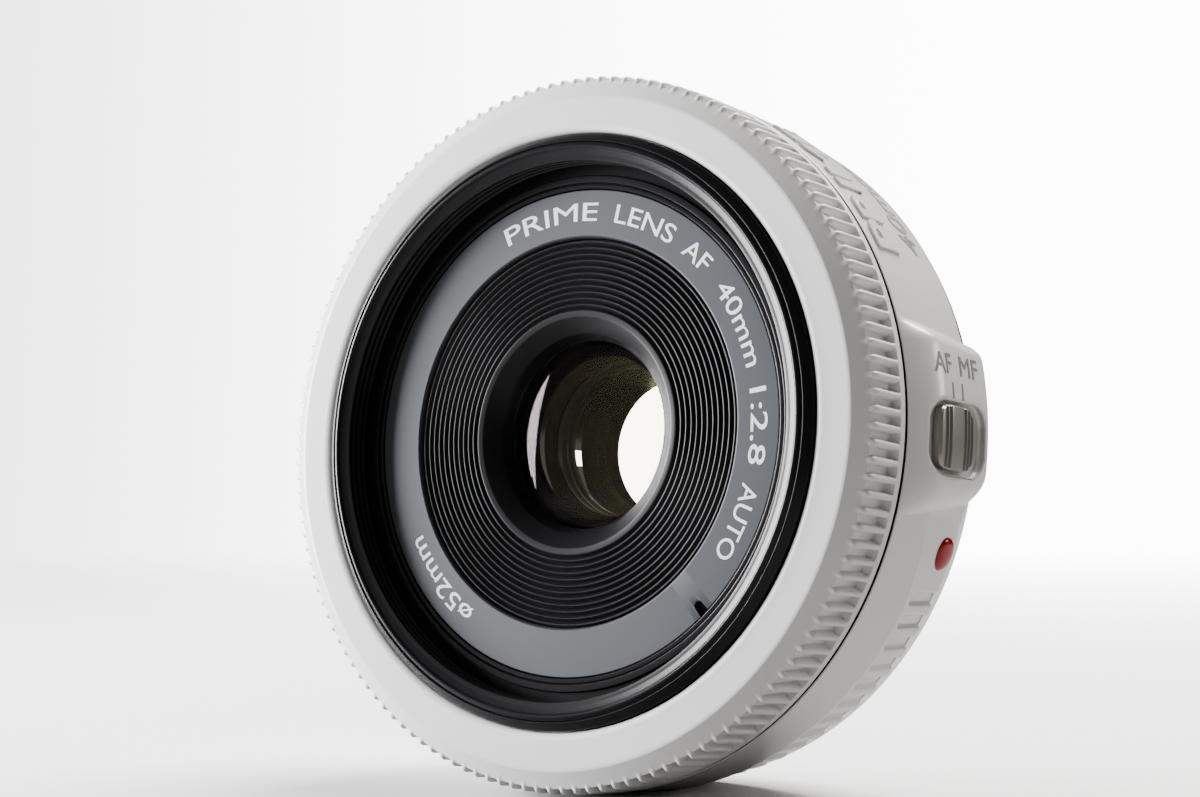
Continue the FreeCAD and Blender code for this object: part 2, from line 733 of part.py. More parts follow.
def make_focus_ring():
    body = turned("focus_ring_body", [
        ("ring_bore + 0.65", "ring_front"),
        ("ring_bore + 0.15", "ring_front - 0.15"),
        ("ring_bore", "ring_front - 0.5"),
        ("ring_bore", "guide_front + 0.32"),
        ("hub_bore", "guide_front + 0.32"),
        ("hub_bore", 17.0),
        (31.2, 17.0),
        (31.2, "guide_front + 0.32"),
        (32.25, "guide_front + 0.32"),
        (32.25, "ring_rear"),
        ("ring_radius - 0.4", "ring_rear"),
        ("ring_radius", "ring_rear + 0.4"),
        ("ring_radius", "ring_front - 1.1"),
        ("ring_radius - 2.1", "ring_front"),
    ])
    outline = [
        ("ring_radius - rib_depth", "rib_end"),
        ("ring_radius + 1", "rib_end"),
        ("ring_radius + 1", "ring_front + 1"),
        ("ring_radius - rib_depth", "ring_front + 1"),
    ]
    sketch = outline_sketch(body, "rib_groove_outline", outline, FreeCAD.Placement())
    groove = body.newObject("PartDesign::Groove", "rib_groove")
    groove.Profile = sketch
    groove.ReferenceAxis = (sketch, ["V_Axis"])
    groove.Midplane = True
    groove.Angle = 0.6 * 360.0 / value("rib_count")
    groove.setExpression("Angle", "0.6 * 360 / Sizes.rib_count")
    doc.recompute()
    pattern = body.newObject("PartDesign::PolarPattern", "rib_grooves")
    pattern.Originals = [groove]
    pattern.Axis = (sketch, ["V_Axis"])
    pattern.Angle = 360
    pattern.Occurrences = int(value("rib_count"))
    body.Tip = pattern
    return node("focus_ring", body)


def make_encoder_comb():
    band = turned("comb_band", [
        (31.55, 14.2),
        (31.9, 14.2),
        (31.9, "ring_rear + 0.1"),
        (32.25, "ring_rear + 0.1"),
        (32.25, 18.6),
        (31.55, 18.6),
    ])
    gaps = [block("comb_gap", 1.6, 1.8, 2.0, outward_place(31.0, 9.0 * i, 14.6)) for i in range(40)]
    return node("encoder_comb", cut("comb_cut", band, gaps))


def make_cam_ring():
    body = turned("cam_body", [
        ("cam_bore", "cam_front"),
        ("cam_radius", "cam_front"),
        ("cam_radius", 18.0),
        ("cam_land", 17.9),
        ("cam_land", 16.9),
        ("cam_radius", 16.8),
        ("cam_radius", 5.1),
        ("cam_land", 5.0),
        ("cam_land", 3.9),
        ("cam_radius", 3.8),
        ("cam_radius", "cam_rear"),
        (26.5, "cam_rear"),
        (26.5, 4.7),
        ("cam_bore", 4.7),
    ])
    lead = value("focus_travel") / value("cam_turn")
    run_out = 2.3
    first = FOLLOWER_ANGLES[0] - run_out
    low = value("pin_forward") - lead * run_out
    half = value("slot_breadth") / 2 + 0.015
    corners = [(27.0, low - half), (30.0, low - half), (30.0, low + half), (27.0, low + half)]
    placement = FreeCAD.Placement(FreeCAD.Vector(), about_axis(first))
    sketch = outline_sketch(body, "cam_slot_outline", corners, placement)
    slot = body.newObject("PartDesign::SubtractiveHelix", "cam_slot")
    slot.Profile = sketch
    slot.ReferenceAxis = (sketch, ["V_Axis"])
    slot.Mode = 0
    slot.Pitch = lead * 360
    slot.Height = lead * (value("cam_turn") + 2 * run_out)
    slot.setExpression("Pitch", "Sizes.focus_travel / Sizes.cam_turn * 360")
    slot.LeftHanded = False
    slot.Reversed = True
    doc.recompute()
    pattern = body.newObject("PartDesign::PolarPattern", "cam_slots")
    pattern.Originals = [slot]
    pattern.Axis = (sketch, ["V_Axis"])
    pattern.Angle = 360
    pattern.Occurrences = len(FOLLOWER_ANGLES)
    body.Tip = pattern
    module = value("gear_module")
    pitch_radius = value("cam_teeth") * module / 2
    corners = tooth_outline(int(value("cam_teeth")), module, pitch_radius + 1.1 * module,
                            pitch_radius - 0.9 * module, 0.06, 1)
    tooth_angle = 360.0 / value("cam_teeth")
    cutter = shaped("cam_gear_cutter", prism(corners, 1.0, 4.9, 0, 0,
                                             motor_to_idler() % tooth_angle))
    return node("cam_ring", cut("cam_cut", body, [cutter]))


def make_gears():
    module = value("gear_module")
    idler_angle = motor_to_idler()
    teeth = value("idler_teeth")
    here = vector(value("idler_circle"), idler_angle)
    there = vector(value("motor_circle"), value("motor_angle"))
    heading = math.degrees(math.atan2(there.z - here.z, there.x - here.x))
    phase = ((heading - idler_angle) * teeth / 360.0) % 1.0
    motor_teeth = value("motor_teeth")
    motor_turn = heading + 180.0 - (0.5 - phase) * 360.0 / motor_teeth
    rear, front = value("gear_rear"), value("gear_front")
    node("idler_gear", plain_gear("idler", int(teeth), module, 0.76, rear, front,
                                  value("idler_circle"), idler_angle, idler_angle))
    node("motor_pinion", plain_gear("pinion", int(motor_teeth), module, 0.4, rear, front,
                                    value("motor_circle"), value("motor_angle"), motor_turn))
    node("motor_shaft", cylinder("shaft", 0.4, 2.8,
                                 forward_place(value("motor_circle"), value("motor_angle"), 2.95)))


def make_front_barrel():
    outline = [
        ("unit_radius", "unit_rear"),
        ("unit_radius", "unit_front - 0.12"),
        ("unit_radius - 0.12", "unit_front"),
        ("unit_radius - 0.65", "unit_front"),
        ("unit_radius - 0.8", "unit_front - 0.15"),
        ("thread_root", 22.42),
    ]
    for turn in range(4):
        low = 22.35 - 0.3 - turn * value("thread_pitch")
        outline.append(("thread_crest", low + 0.3))
        if turn < 3:
            outline.append(("thread_crest", low))
            outline.append(("thread_root", low - 0.225))
    outline += [
        ("thread_crest", 19.95),
        ("thread_root", 19.85),
        ("thread_root", 19.6),
        (24.65, 19.6),
        (24.6, 19.95),
        (23.92, 19.95),
        (23.9, 19.6),
        (23.82, 19.6),
        (23.8, 19.78),
        (23.36, 19.78),
        (23.34, "web_front"),
        (18.6, "web_front"),
        (18.6, "web_front - 0.3"),
        (15.0, "web_front - 0.3"),
        (15.0, "web_rear"),
        ("unit_bore", "web_rear"),
        ("unit_bore", "unit_rear"),
    ]
    tube = turned("front_tube", outline)
    posts = [cylinder("iris_post", 1.3, "web_rear + 0.2 - iris_rear - 0.5",
                      forward_place(value("post_circle"), angle, value("iris_rear") + 0.5))
             for angle in POST_ANGLES]
    pins = [cylinder("follower_seat", "pin_radius", 3,
                     outward_place(25.5, angle, value("pin_forward"))) for angle in FOLLOWER_ANGLES]
    holes = [cylinder("iris_screw_hole", 0.5, 4,
                      forward_place(value("post_circle"), angle, value("iris_rear") - 1))
             for angle in POST_ANGLES]
    return node("front_barrel", cut("front_cut", fuse("front_solid", [tube] + posts), pins + holes))


def make_cam_followers():
    pins = [cylinder("follower", "pin_radius", 3.85,
                     outward_place(26.4, angle, value("pin_forward"))) for angle in FOLLOWER_ANGLES]
    return node("cam_followers", group("follower_group", pins))


def make_name_ring():
    ring = turned("name_blank", [
        ("name_inner", "web_front"),
        ("name_outer", "web_front"),
        ("name_outer", "name_front - 0.1"),
        ("name_outer - 0.1", "name_front"),
        ("name_inner + 0.2", "name_front"),
        ("name_inner", "name_front - 0.2"),
    ])
    tilt = FreeCAD.Rotation(FreeCAD.Vector(1, 0, 0), 90)
    spin = FreeCAD.Rotation(FreeCAD.Vector(0, 0, 1), NOTCH_ANGLE + 90)
    place = FreeCAD.Placement(vector(value("name_outer"), NOTCH_ANGLE, 18.5), tilt.multiply(spin))
    notch = stadium("name_notch", 2.7, 1.0, 3, place)
    return node("name_ring", cut("name_cut", ring, [notch]))


def make_grooved_baffle():
    outline = [("baffle_radius", 18.85), ("baffle_radius", "baffle_front - 0.05")]
    for crest in range(int(value("crest_count"))):
        radius = value("baffle_radius") - 0.15 - crest * value("crest_pitch")
        level = value("baffle_front") - 0.0208 * (value("baffle_radius") - radius)
        outline.append((radius, level))
        if crest < value("crest_count") - 1:
            outline.append((radius - value("crest_pitch") / 2, level - 0.3))
    outline += [
        (11.1, 19.17),
        (9.6, 18.06),
        (9.05, 17.05),
        (10.4, 17.05),
        (10.4, 18.35),
        (14.8, 18.35),
        (14.8, 18.85),
    ]
    return node("grooved_baffle", turned("baffle_body", outline))


def make_lens_cells():
    front = turned("front_cell", [
        (10.6, "web_rear"),
        (16.2, "web_rear"),
        (16.2, "web_rear - 0.7"),
        (11.6, "web_rear - 0.7"),
        (11.6, 10.65),
        (7.2, 10.65),
        (7.2, 11.05),
        (7.95, 11.05),
        (7.95, 14.45),
        (9.65, 14.45),
        (9.65, 16.36),
        (10.6, 16.36),
    ])
    node("lens_cell_front", front)
    node("front_retaining_ring", turned("front_retainer", ring_outline(9.1, 10.55, 16.5, 17.0)))
    rear = turned("rear_cell", [
        (7.45, "iris_rear"),
        (14.2, "iris_rear"),
        (14.2, "iris_rear - 0.8"),
        (10.3, "iris_rear - 0.8"),
        (10.3, "plate_front"),
        (9.35, "plate_front"),
        (9.35, 3.68),
        (6.5, 3.68),
        (6.5, 5.2),
        (7.45, 5.45),
    ])
    node("lens_cell_rear", rear)
    node("rear_retaining_ring", turned("rear_retainer", ring_outline(7.7, 9.33, "plate_front", 2.45)))


def make_glass():
    for label in GLASS:
        lens_element(label)


def ears(name, circle, radius, rear, thickness, angles):
    return [cylinder(name, radius, thickness, forward_place(circle, angle, rear))
            for angle in angles]


def iris_motor_place(forward):
    return forward_place(value("iris_motor_circle"), value("iris_motor_angle"), forward)


def make_iris_plates():
    rear = value("iris_rear")
    plate = turned("base_blank", ring_outline("stop_radius", "iris_radius", "iris_rear",
                                              "iris_rear + 0.5"))
    solid = fuse("base_solid", [plate] + ears("base_ear", value("post_circle"), 2.2, rear, 0.5,
                                              POST_ANGLES)
                 + ears("base_motor_ear", value("iris_motor_circle"), 3.0, rear, 0.5,
                        (value("iris_motor_angle"),)))
    tools = [cylinder("pivot_hole", 0.5, 3, forward_place(value("pivot_circle"), angle, rear - 1))
             for angle in blade_angles()]
    tools += [cylinder("ear_hole", 0.5, 3, forward_place(value("post_circle"), angle, rear - 1))
              for angle in POST_ANGLES]
    tools.append(cylinder("iris_shaft_hole", 0.46, 3, iris_motor_place(rear - 1)))
    node("iris_base", cut("base_cut", solid, tools))
    cover = turned("cover_blank", [
        (7.4, 10.65),
        ("iris_radius", 10.65),
        ("iris_radius", 10.35),
        (10.83, 10.35),
        (10.83, 9.72),
        (7.4, 9.72),
    ])
    lobes = ears("cover_ear", value("post_circle"), 2.2, 10.35, 0.3, POST_ANGLES)
    holes = ears("cover_ear_hole", value("post_circle"), 1.31, 9.5, 2, POST_ANGLES)
    node("iris_cover", cut("iris_cover_cut", fuse("iris_cover_solid", [cover] + lobes), holes))


def make_iris_motor():
    case = cylinder("iris_motor_can", 2.3, 3.8, iris_motor_place(4.4))
    bore = cylinder("iris_motor_bore", 0.46, 1, iris_motor_place(7.7))
    node("iris_motor", cut("iris_motor_cut", case, [bore]))
    screws = [screw("iris_screw", 1.0, 0.5, 0.5, "iris_rear - 0.5", 11.0, "post_circle", angle)
              for angle in POST_ANGLES]
    node("iris_screws", group("iris_screw_group", screws))


def blade_angles():
    count = int(value("blade_count"))
    return [360.0 / count * i + 8.0 for i in range(count)]


def make_blades():
    """Seven curved blades, each on a level of its own, with a pivot below and a stud above."""
    for i, angle in enumerate(blade_angles()):
        name = "blade_%d" % (i + 1)
        rear = value("iris_rear") + 0.6 + i * value("blade_pitch")
        thick = value("blade_thickness")
        front = rear + thick
        arm = turned(name + "_arc", ring_outline("stop_radius + 0.2", 10.6, rear, front),
                     angle - 4.0, 115.0)
        tab = turned(name + "_tab", ring_outline(10.3, 12.8, rear, front), angle - 20.0, 25.0)
        pivot = cylinder(name + "_pivot", 0.45, rear - value("iris_rear") - 0.08,
                         forward_place(value("pivot_circle"), angle, value("iris_rear") + 0.08))
        centre = vector(value("pivot_circle"), angle)
        side = vector(value("stud_reach"), angle - 90.0)
        spot = FreeCAD.Placement(FreeCAD.Vector(centre.x + side.x, -front, centre.z + side.z),
                                 FreeCAD.Rotation(FreeCAD.Vector(1, 0, 0), 90))
        stud = cylinder(name + "_stud", "stud_radius", 10.2 - front, spot)
        solid = fuse(name + "_solid", [arm, tab, pivot, stud])
        node("iris_blade_%d" % (i + 1), solid)


def stud_path(blade_turn):
    """Where a stud lies in the drive ring's own frame once its blade has turned this far."""
    turn = math.radians(blade_turn)
    reach = value("stud_reach")
    across = value("pivot_circle") + reach * math.sin(turn)
    up = -reach * math.cos(turn)
    back = -math.radians(blade_turn * value("iris_turn") / value("blade_turn"))
    return (across * math.cos(back) - up * math.sin(back),
            across * math.sin(back) + up * math.cos(back))


def slot_corners(width, steps=20):
    """Corners of a drive slot: the stud's path widened on both sides, with pointed ends."""
    last = value("blade_turn")
    path = [stud_path(last * (i / steps * 1.04 - 0.02)) for i in range(steps + 1)]
    sides = ([], [])
    for i, (x, z) in enumerate(path):
        before = path[max(i - 1, 0)]
        after = path[min(i + 1, steps)]
        length = math.hypot(after[0] - before[0], after[1] - before[1])
        ahead = ((after[0] - before[0]) / length, (after[1] - before[1]) / length)
        reach = width if i in (0, steps) else 0.0
        sign = -1 if i == 0 else 1
        x += sign * reach * ahead[0]
        z += sign * reach * ahead[1]
        sides[0].append((x - width * ahead[1], z + width * ahead[0]))
        sides[1].append((x + width * ahead[1], z - width * ahead[0]))
    return sides[0] + sides[1][::-1]


def make_iris_drive():
    module = value("gear_module")
    teeth = int(value("iris_gear_teeth"))
    pitch_radius = teeth * module / 2
    mesh_angle = value("iris_motor_angle")
    circle = value("iris_motor_circle")
    ring = Part.makeCylinder(15.15, 0.4, vector(0, 0, 9.75), FreeCAD.Vector(0, -1, 0))
    ring = ring.cut(Part.makeCylinder(10.9, 2, vector(0, 0, 9), FreeCAD.Vector(0, -1, 0)))
    flanks = tooth_outline(teeth, module, pitch_radius + 0.9 * module, pitch_radius - 1.2 * module,
                           -0.08, 2, first=-4, count=17)
    first = math.atan2(flanks[0][1], flanks[0][0])
    final = math.atan2(flanks[-1][1], flanks[-1][0])
    inner = [(14.0 * math.cos(final), 14.0 * math.sin(final)),
             (14.0 * math.cos(first), 14.0 * math.sin(first))]
    sector = prism(flanks + inner, 9.75, 10.15, 0, 0, mesh_angle)
    sector = sector.cut(Part.makeCylinder(15.0, 3, vector(0, 0, 9), FreeCAD.Vector(0, -1, 0)))
    ring = ring.fuse(sector).removeSplitter()
    for angle in blade_angles():
        ring = ring.cut(prism(slot_corners(0.46), 9.5, 10.5, 0, 0, angle))
    node("iris_drive_ring", shaped("drive_ring", ring))
    small = int(value("iris_pinion_teeth"))
    shaft = Part.makeCylinder(0.4, 2.3, vector(circle, mesh_angle, 7.9), FreeCAD.Vector(0, -1, 0))
    turn = mesh_angle + 180.0 + 180.0 / small
    pinion = plain_gear("iris_pinion_gear", small, module, None, 9.7, 10.2, circle, mesh_angle, turn)
    pinion.Shape = pinion.Shape.fuse(shaft).removeSplitter()
    node("iris_pinion", pinion)


def check_and_write():
    """Stop on any failed feature or bad shape, then write every sub-part."""
    doc.recompute()
    for item in doc.Objects:
        if "Invalid" in item.State or "Error" in item.State:
            raise RuntimeError("failed feature: " + item.Label)
    for item in nodes:
        if item.Shape.isNull() or not item.Shape.isValid() or not item.Shape.Solids:
            raise RuntimeError("bad shape: " + item.Label)
    os.makedirs("parts", exist_ok=True)
    for item in nodes:
        item.Shape.exportStep("parts/" + item.Label + ".step")
        volume = sum(solid.Volume for solid in item.Shape.Solids)
        print("%-26s %3d solids %5d faces %10.3f mm3" % (
            item.Label, len(item.Shape.Solids), len(item.Shape.Faces), volume))
    print(len(nodes), "sub-parts")


fill_sheet()
make_outer_barrel()
make_index_dot()
make_mount_plate()
make_mount_screws()
make_guide_barrel()
make_ring_bearings()
make_chassis_plate()
make_chassis_screws()
make_circuit_board()
make_rear_cover()
make_rear_cover_screws()
make_contact_block()
make_contact_details()
make_motor_parts()
make_ring_sensor()
make_switch()
make_focus_ring()
make_encoder_comb()
make_cam_ring()
make_gears()
make_front_barrel()
make_cam_followers()
make_name_ring()
make_grooved_baffle()
make_lens_cells()
make_glass()
make_iris_plates()
make_iris_motor()
make_blades()
make_iris_drive()
check_and_write()
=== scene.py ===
# %% [markdown]
# A flat autofocus prime lens, finished around its packed working model. The working model brings
# the shapes that move and fit. This lesson adds fine surfaces, glass, paint, metal and lettering
# on top. Everything is in metres, with the optical axis along Y and the front of the lens towards
# -Y.

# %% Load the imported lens
import json
import math

import bmesh
import bpy
import numpy as np
from mathutils import Matrix, Vector

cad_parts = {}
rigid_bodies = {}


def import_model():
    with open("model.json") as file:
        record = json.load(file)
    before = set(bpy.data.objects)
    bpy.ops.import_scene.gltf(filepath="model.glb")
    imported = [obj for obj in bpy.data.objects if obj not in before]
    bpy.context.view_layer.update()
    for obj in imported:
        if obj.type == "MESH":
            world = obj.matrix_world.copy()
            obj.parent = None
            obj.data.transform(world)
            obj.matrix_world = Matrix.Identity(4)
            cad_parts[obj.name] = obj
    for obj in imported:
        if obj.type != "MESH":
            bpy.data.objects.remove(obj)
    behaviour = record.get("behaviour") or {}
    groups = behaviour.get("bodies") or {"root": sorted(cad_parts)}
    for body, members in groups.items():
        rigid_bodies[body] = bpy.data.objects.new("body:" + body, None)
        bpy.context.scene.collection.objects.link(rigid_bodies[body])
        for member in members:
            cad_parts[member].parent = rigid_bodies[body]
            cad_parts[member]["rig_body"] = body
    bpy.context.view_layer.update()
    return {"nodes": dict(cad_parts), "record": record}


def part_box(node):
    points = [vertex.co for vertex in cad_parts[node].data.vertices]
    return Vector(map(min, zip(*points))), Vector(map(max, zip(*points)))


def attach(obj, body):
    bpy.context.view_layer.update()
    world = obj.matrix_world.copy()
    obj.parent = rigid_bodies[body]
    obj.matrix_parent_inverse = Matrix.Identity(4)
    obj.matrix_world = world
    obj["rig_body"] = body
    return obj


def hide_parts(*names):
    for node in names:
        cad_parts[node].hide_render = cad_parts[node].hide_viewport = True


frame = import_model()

MM = 0.001
nodes = frame["nodes"]

# %% [markdown]
# The camera comes first, because every later choice is judged through it. It stands close, on the
# switch side, about 36 degrees off the optical axis, and the lens leans back a little on its
# front rim. So the camera looks slightly upwards in the lens's own frame and is rolled by a few
# degrees.

# %% Camera
CAMERA_PLACE = Vector((142.3, -209.3, -21.3)) * MM
CAMERA_AZIMUTH = math.radians(36.26)
CAMERA_LIFT = math.radians(5.92)
CAMERA_ROLL = math.radians(-2.95)

ahead = Vector((-math.sin(CAMERA_AZIMUTH) * math.cos(CAMERA_LIFT),
                math.cos(CAMERA_AZIMUTH) * math.cos(CAMERA_LIFT),
                math.sin(CAMERA_LIFT)))
camera_data = bpy.data.cameras.new("studio_camera")
camera_data.lens = 75.2
camera_data.sensor_width = 36.0
camera_data.clip_start = 0.01
camera_data.clip_end = 50.0
camera = bpy.data.objects.new("studio_camera", camera_data)
bpy.context.scene.collection.objects.link(camera)
level = ahead.to_track_quat("-Z", "Y").to_matrix()
roll = Matrix.Rotation(CAMERA_ROLL, 3, ahead)
camera.matrix_world = Matrix.Translation(CAMERA_PLACE) @ (roll @ level).to_4x4()
bpy.context.scene.camera = camera
print("camera distance mm:", round(CAMERA_PLACE.length / MM, 1))

# %% [markdown]
# The lens rests on two rims: the ribbed ring at the front and the narrower metal flange behind
# it. The floor is the plane that touches both, so it tilts by about five degrees against the
# optical axis. It reaches far enough that its edge is lost in the pale background from every
# side.

# %% Floor and soft light
ring_low, ring_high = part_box("focus_ring")
mount_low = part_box("mount_plate")[0]
rest_front = Vector((0, ring_high.y, ring_low.z))
rest_rear = Vector((0, 0, mount_low.z))
slope = (rest_rear.z - rest_front.z) / (rest_rear.y - rest_front.y)
FLOOR_REACH = 3.0
FLOOR_GAP = 0.00005

floor_mesh = bpy.data.meshes.new("studio_floor")
corners = [(x, y, rest_front.z + slope * (y - rest_front.y) - FLOOR_GAP)
           for x, y in ((-FLOOR_REACH, -FLOOR_REACH), (FLOOR_REACH, -FLOOR_REACH),
                        (FLOOR_REACH, FLOOR_REACH), (-FLOOR_REACH, FLOOR_REACH))]
floor_mesh.from_pydata(corners, [], [(0, 1, 2, 3)])
floor = bpy.data.objects.new("studio_floor", floor_mesh)
bpy.context.scene.collection.objects.link(floor)
print("floor slope degrees:", round(math.degrees(math.atan(slope)), 2))


def area_light(name, place, aim, size, power, tint=(1, 1, 1)):
    """A square soft light at a place, turned to face a point."""
    data = bpy.data.lights.new(name, "AREA")
    data.shape = "SQUARE"
    data.size = size
    data.energy = power
    data.color = tint
    lamp = bpy.data.objects.new(name, data)
    lamp.location = place
    lamp.rotation_euler = (Vector(aim) - Vector(place)).to_track_quat("-Z", "Y").to_euler()
    bpy.context.scene.collection.objects.link(lamp)
    return lamp


area_light("overhead_box", (0.02, 0.26, 0.58), (0, 0, 0), 0.50, 19.5, (1.0, 0.985, 0.965))
area_light("front_left_box", (-0.48, -0.19, 0.025), (0, -0.02, 0), 0.30, 22.0, (0.98, 0.985, 1.0))
area_light("back_right_box", (0.46, 0.42, 0.20), (0.03, 0, 0), 0.16, 0.7, (1.0, 0.99, 0.97))

# %% [markdown]
# The backdrop is lit far more than the lens, so it has two jobs that need two strengths. Seen
# directly or through the glass it is nearly white, brighter to the right. As a light on the lens
# it is dim, so that black parts stay black and the boxes above give the shading. The real glass
# has inked edges and coated faces, which swallow stray light, so a ray that was mirrored once
# inside the lens keeps only a trace of the backdrop.

# %% World
world = bpy.data.worlds.new("studio_world")
bpy.context.scene.world = world
world.use_nodes = True
tree = world.node_tree
tree.nodes.clear()


def add(tree, kind, **values):
    """A node of a kind, with attributes set, then sockets by name."""
    item = tree.nodes.new(kind)
    for key, setting in values.items():
        if hasattr(item, key):
            setattr(item, key, setting)
        else:
            item.inputs[key].default_value = setting
    return item


def join(tree, source, target):
    tree.links.new(source, target)


sideways = Vector((math.cos(CAMERA_AZIMUTH), math.sin(CAMERA_AZIMUTH), 0))


def ramp(tree, direction, low, high, low_strength, high_strength):
    """A strength that grows with how far a view direction leans along the given one."""
    place = add(tree, "ShaderNodeTexCoord")
    lean = add(tree, "ShaderNodeVectorMath", operation="DOT_PRODUCT")
    lean.inputs[1].default_value = direction
    join(tree, place.outputs["Generated"], lean.inputs[0])
    scale = add(tree, "ShaderNodeMapRange", interpolation_type="SMOOTHSTEP")
    for socket, number in (("From Min", low), ("From Max", high),
                           ("To Min", low_strength), ("To Max", high_strength)):
        scale.inputs[socket].default_value = number
    join(tree, lean.outputs["Value"], scale.inputs["Value"])
    return scale.outputs["Result"]


GLINT_LOSS = 0.994
backdrop = add(tree, "ShaderNodeBackground", Color=(1.0, 0.975, 0.96, 1))
behind = add(tree, "ShaderNodeMath", operation="MULTIPLY")
join(tree, ramp(tree, sideways, -0.28, 0.16, 3.8, 13.0), behind.inputs[0])
join(tree, ramp(tree, ahead, 0.55, 0.92, 0.32, 1.0), behind.inputs[1])
join(tree, behind.outputs[0], backdrop.inputs["Strength"])
surround = add(tree, "ShaderNodeBackground", Color=(1.0, 0.99, 0.985, 1))
join(tree, ramp(tree, sideways, -0.9, 0.5, 0.42, 0.045), surround.inputs["Strength"])
path = add(tree, "ShaderNodeLightPath")
direct = add(tree, "ShaderNodeMath", operation="MAXIMUM")
join(tree, path.outputs["Is Camera Ray"], direct.inputs[0])
join(tree, path.outputs["Is Transmission Ray"], direct.inputs[1])
scattered = add(tree, "ShaderNodeMath", operation="MULTIPLY_ADD")
scattered.inputs[1].default_value = GLINT_LOSS
join(tree, path.outputs["Glossy Depth"], scattered.inputs[0])
join(tree, path.outputs["Diffuse Depth"], scattered.inputs[2])
unscattered = add(tree, "ShaderNodeMath", operation="SUBTRACT", use_clamp=True)
join(tree, direct.outputs[0], unscattered.inputs[0])
join(tree, scattered.outputs[0], unscattered.inputs[1])
choose = add(tree, "ShaderNodeMixShader")
join(tree, unscattered.outputs[0], choose.inputs[0])
join(tree, surround.outputs[0], choose.inputs[1])
join(tree, backdrop.outputs[0], choose.inputs[2])
finish_world = add(tree, "ShaderNodeOutputWorld")
join(tree, choose.outputs[0], finish_world.inputs["Surface"])
print("world nodes:", len(tree.nodes))

# %% [markdown]
# Three effects are shared by many finishes, so each is a node group: the fine grain of moulded
# plastic and satin paint, the rings that a lathe leaves, and the dust that settles on dark parts.
# A group gives out only values; the shader that uses them stays in each material.

# %% Shader groups


def new_group(name, inputs, outputs):
    """A shader group with named float inputs and outputs, and its two end nodes."""
    group = bpy.data.node_groups.new(name, "ShaderNodeTree")
    for label, start in inputs:
        socket = group.interface.new_socket(label, in_out="INPUT", socket_type="NodeSocketFloat")
        socket.default_value = start
    for label in outputs:
        group.interface.new_socket(label, in_out="OUTPUT", socket_type="NodeSocketFloat")
    return group, add(group, "NodeGroupInput"), add(group, "NodeGroupOutput")


def grain_group():
    """Height from noise at a fine scale, and tone from noise at a broad one."""
    group, given, out = new_group("fine_grain", (("Scale", 9000.0), ("Broad", 90.0)),
                                  ("Height", "Broad Tone"))
    place = add(group, "ShaderNodeTexCoord")
    fine = add(group, "ShaderNodeTexNoise", Detail=3.0, Roughness=0.6)
    broad = add(group, "ShaderNodeTexNoise", Detail=2.0, Roughness=0.5)
    join(group, place.outputs["Object"], fine.inputs["Vector"])
    join(group, place.outputs["Object"], broad.inputs["Vector"])
    join(group, given.outputs["Scale"], fine.inputs["Scale"])
    join(group, given.outputs["Broad"], broad.inputs["Scale"])
    join(group, fine.outputs["Fac"], out.inputs["Height"])
    join(group, broad.outputs["Fac"], out.inputs["Broad Tone"])
    return group


def turning_group():
    """Rings round the axis: noise that depends only on the distance from the axis and on Y."""
    group, given, out = new_group("turning_marks", (("Rings per Metre", 5000.0),), ("Height",))
    place = add(group, "ShaderNodeTexCoord")
    split = add(group, "ShaderNodeSeparateXYZ")
    join(group, place.outputs["Object"], split.inputs[0])
    flat = add(group, "ShaderNodeCombineXYZ")
    join(group, split.outputs["X"], flat.inputs["X"])
    join(group, split.outputs["Z"], flat.inputs["Y"])
    radius = add(group, "ShaderNodeVectorMath", operation="LENGTH")
    join(group, flat.outputs[0], radius.inputs[0])
    pair = add(group, "ShaderNodeCombineXYZ")
    join(group, radius.outputs["Value"], pair.inputs["X"])
    join(group, split.outputs["Y"], pair.inputs["Y"])
    rings = add(group, "ShaderNodeTexNoise", Detail=2.0, Roughness=0.7)
    join(group, pair.outputs[0], rings.inputs["Vector"])
    join(group, given.outputs["Rings per Metre"], rings.inputs["Scale"])
    join(group, rings.outputs["Fac"], out.inputs["Height"])
    return group


def dust_group():
    """A mask of sparse small specks: the darkest spots of a cell pattern, thinned by noise."""
    group, given, out = new_group("settled_dust", (("Scale", 900.0), ("Cover", 0.05)), ("Mask",))
    place = add(group, "ShaderNodeTexCoord")
    cells = add(group, "ShaderNodeTexVoronoi")
    join(group, place.outputs["Object"], cells.inputs["Vector"])
    join(group, given.outputs["Scale"], cells.inputs["Scale"])
    speck = add(group, "ShaderNodeMath", operation="LESS_THAN")
    join(group, cells.outputs["Distance"], speck.inputs[0])
    join(group, given.outputs["Cover"], speck.inputs[1])
    thin = add(group, "ShaderNodeTexNoise", Scale=160.0)
    join(group, place.outputs["Object"], thin.inputs["Vector"])
    mask = add(group, "ShaderNodeMath", operation="MULTIPLY")
    join(group, speck.outputs[0], mask.inputs[0])
    join(group, thin.outputs["Fac"], mask.inputs[1])
    join(group, mask.outputs[0], out.inputs["Mask"])
    return group


GRAIN = grain_group()
TURNING = turning_group()
DUST = dust_group()
print("groups:", [group.name for group in bpy.data.node_groups])

# %% [markdown]
# One function builds every opaque finish from the same few facts: two close colours that drift
# into each other, how rough it is and how much that varies, the grain, the lathe rings and the
# dust. Uniform numbers, such as metallic and coat, are set on the shader itself.

# %% Opaque finishes
materials = {}


def use_group(tree, group, **values):
    item = tree.nodes.new("ShaderNodeGroup")
    item.node_tree = group
    for key, setting in values.items():
        item.inputs[key.replace("_", " ")].default_value = setting
    return item


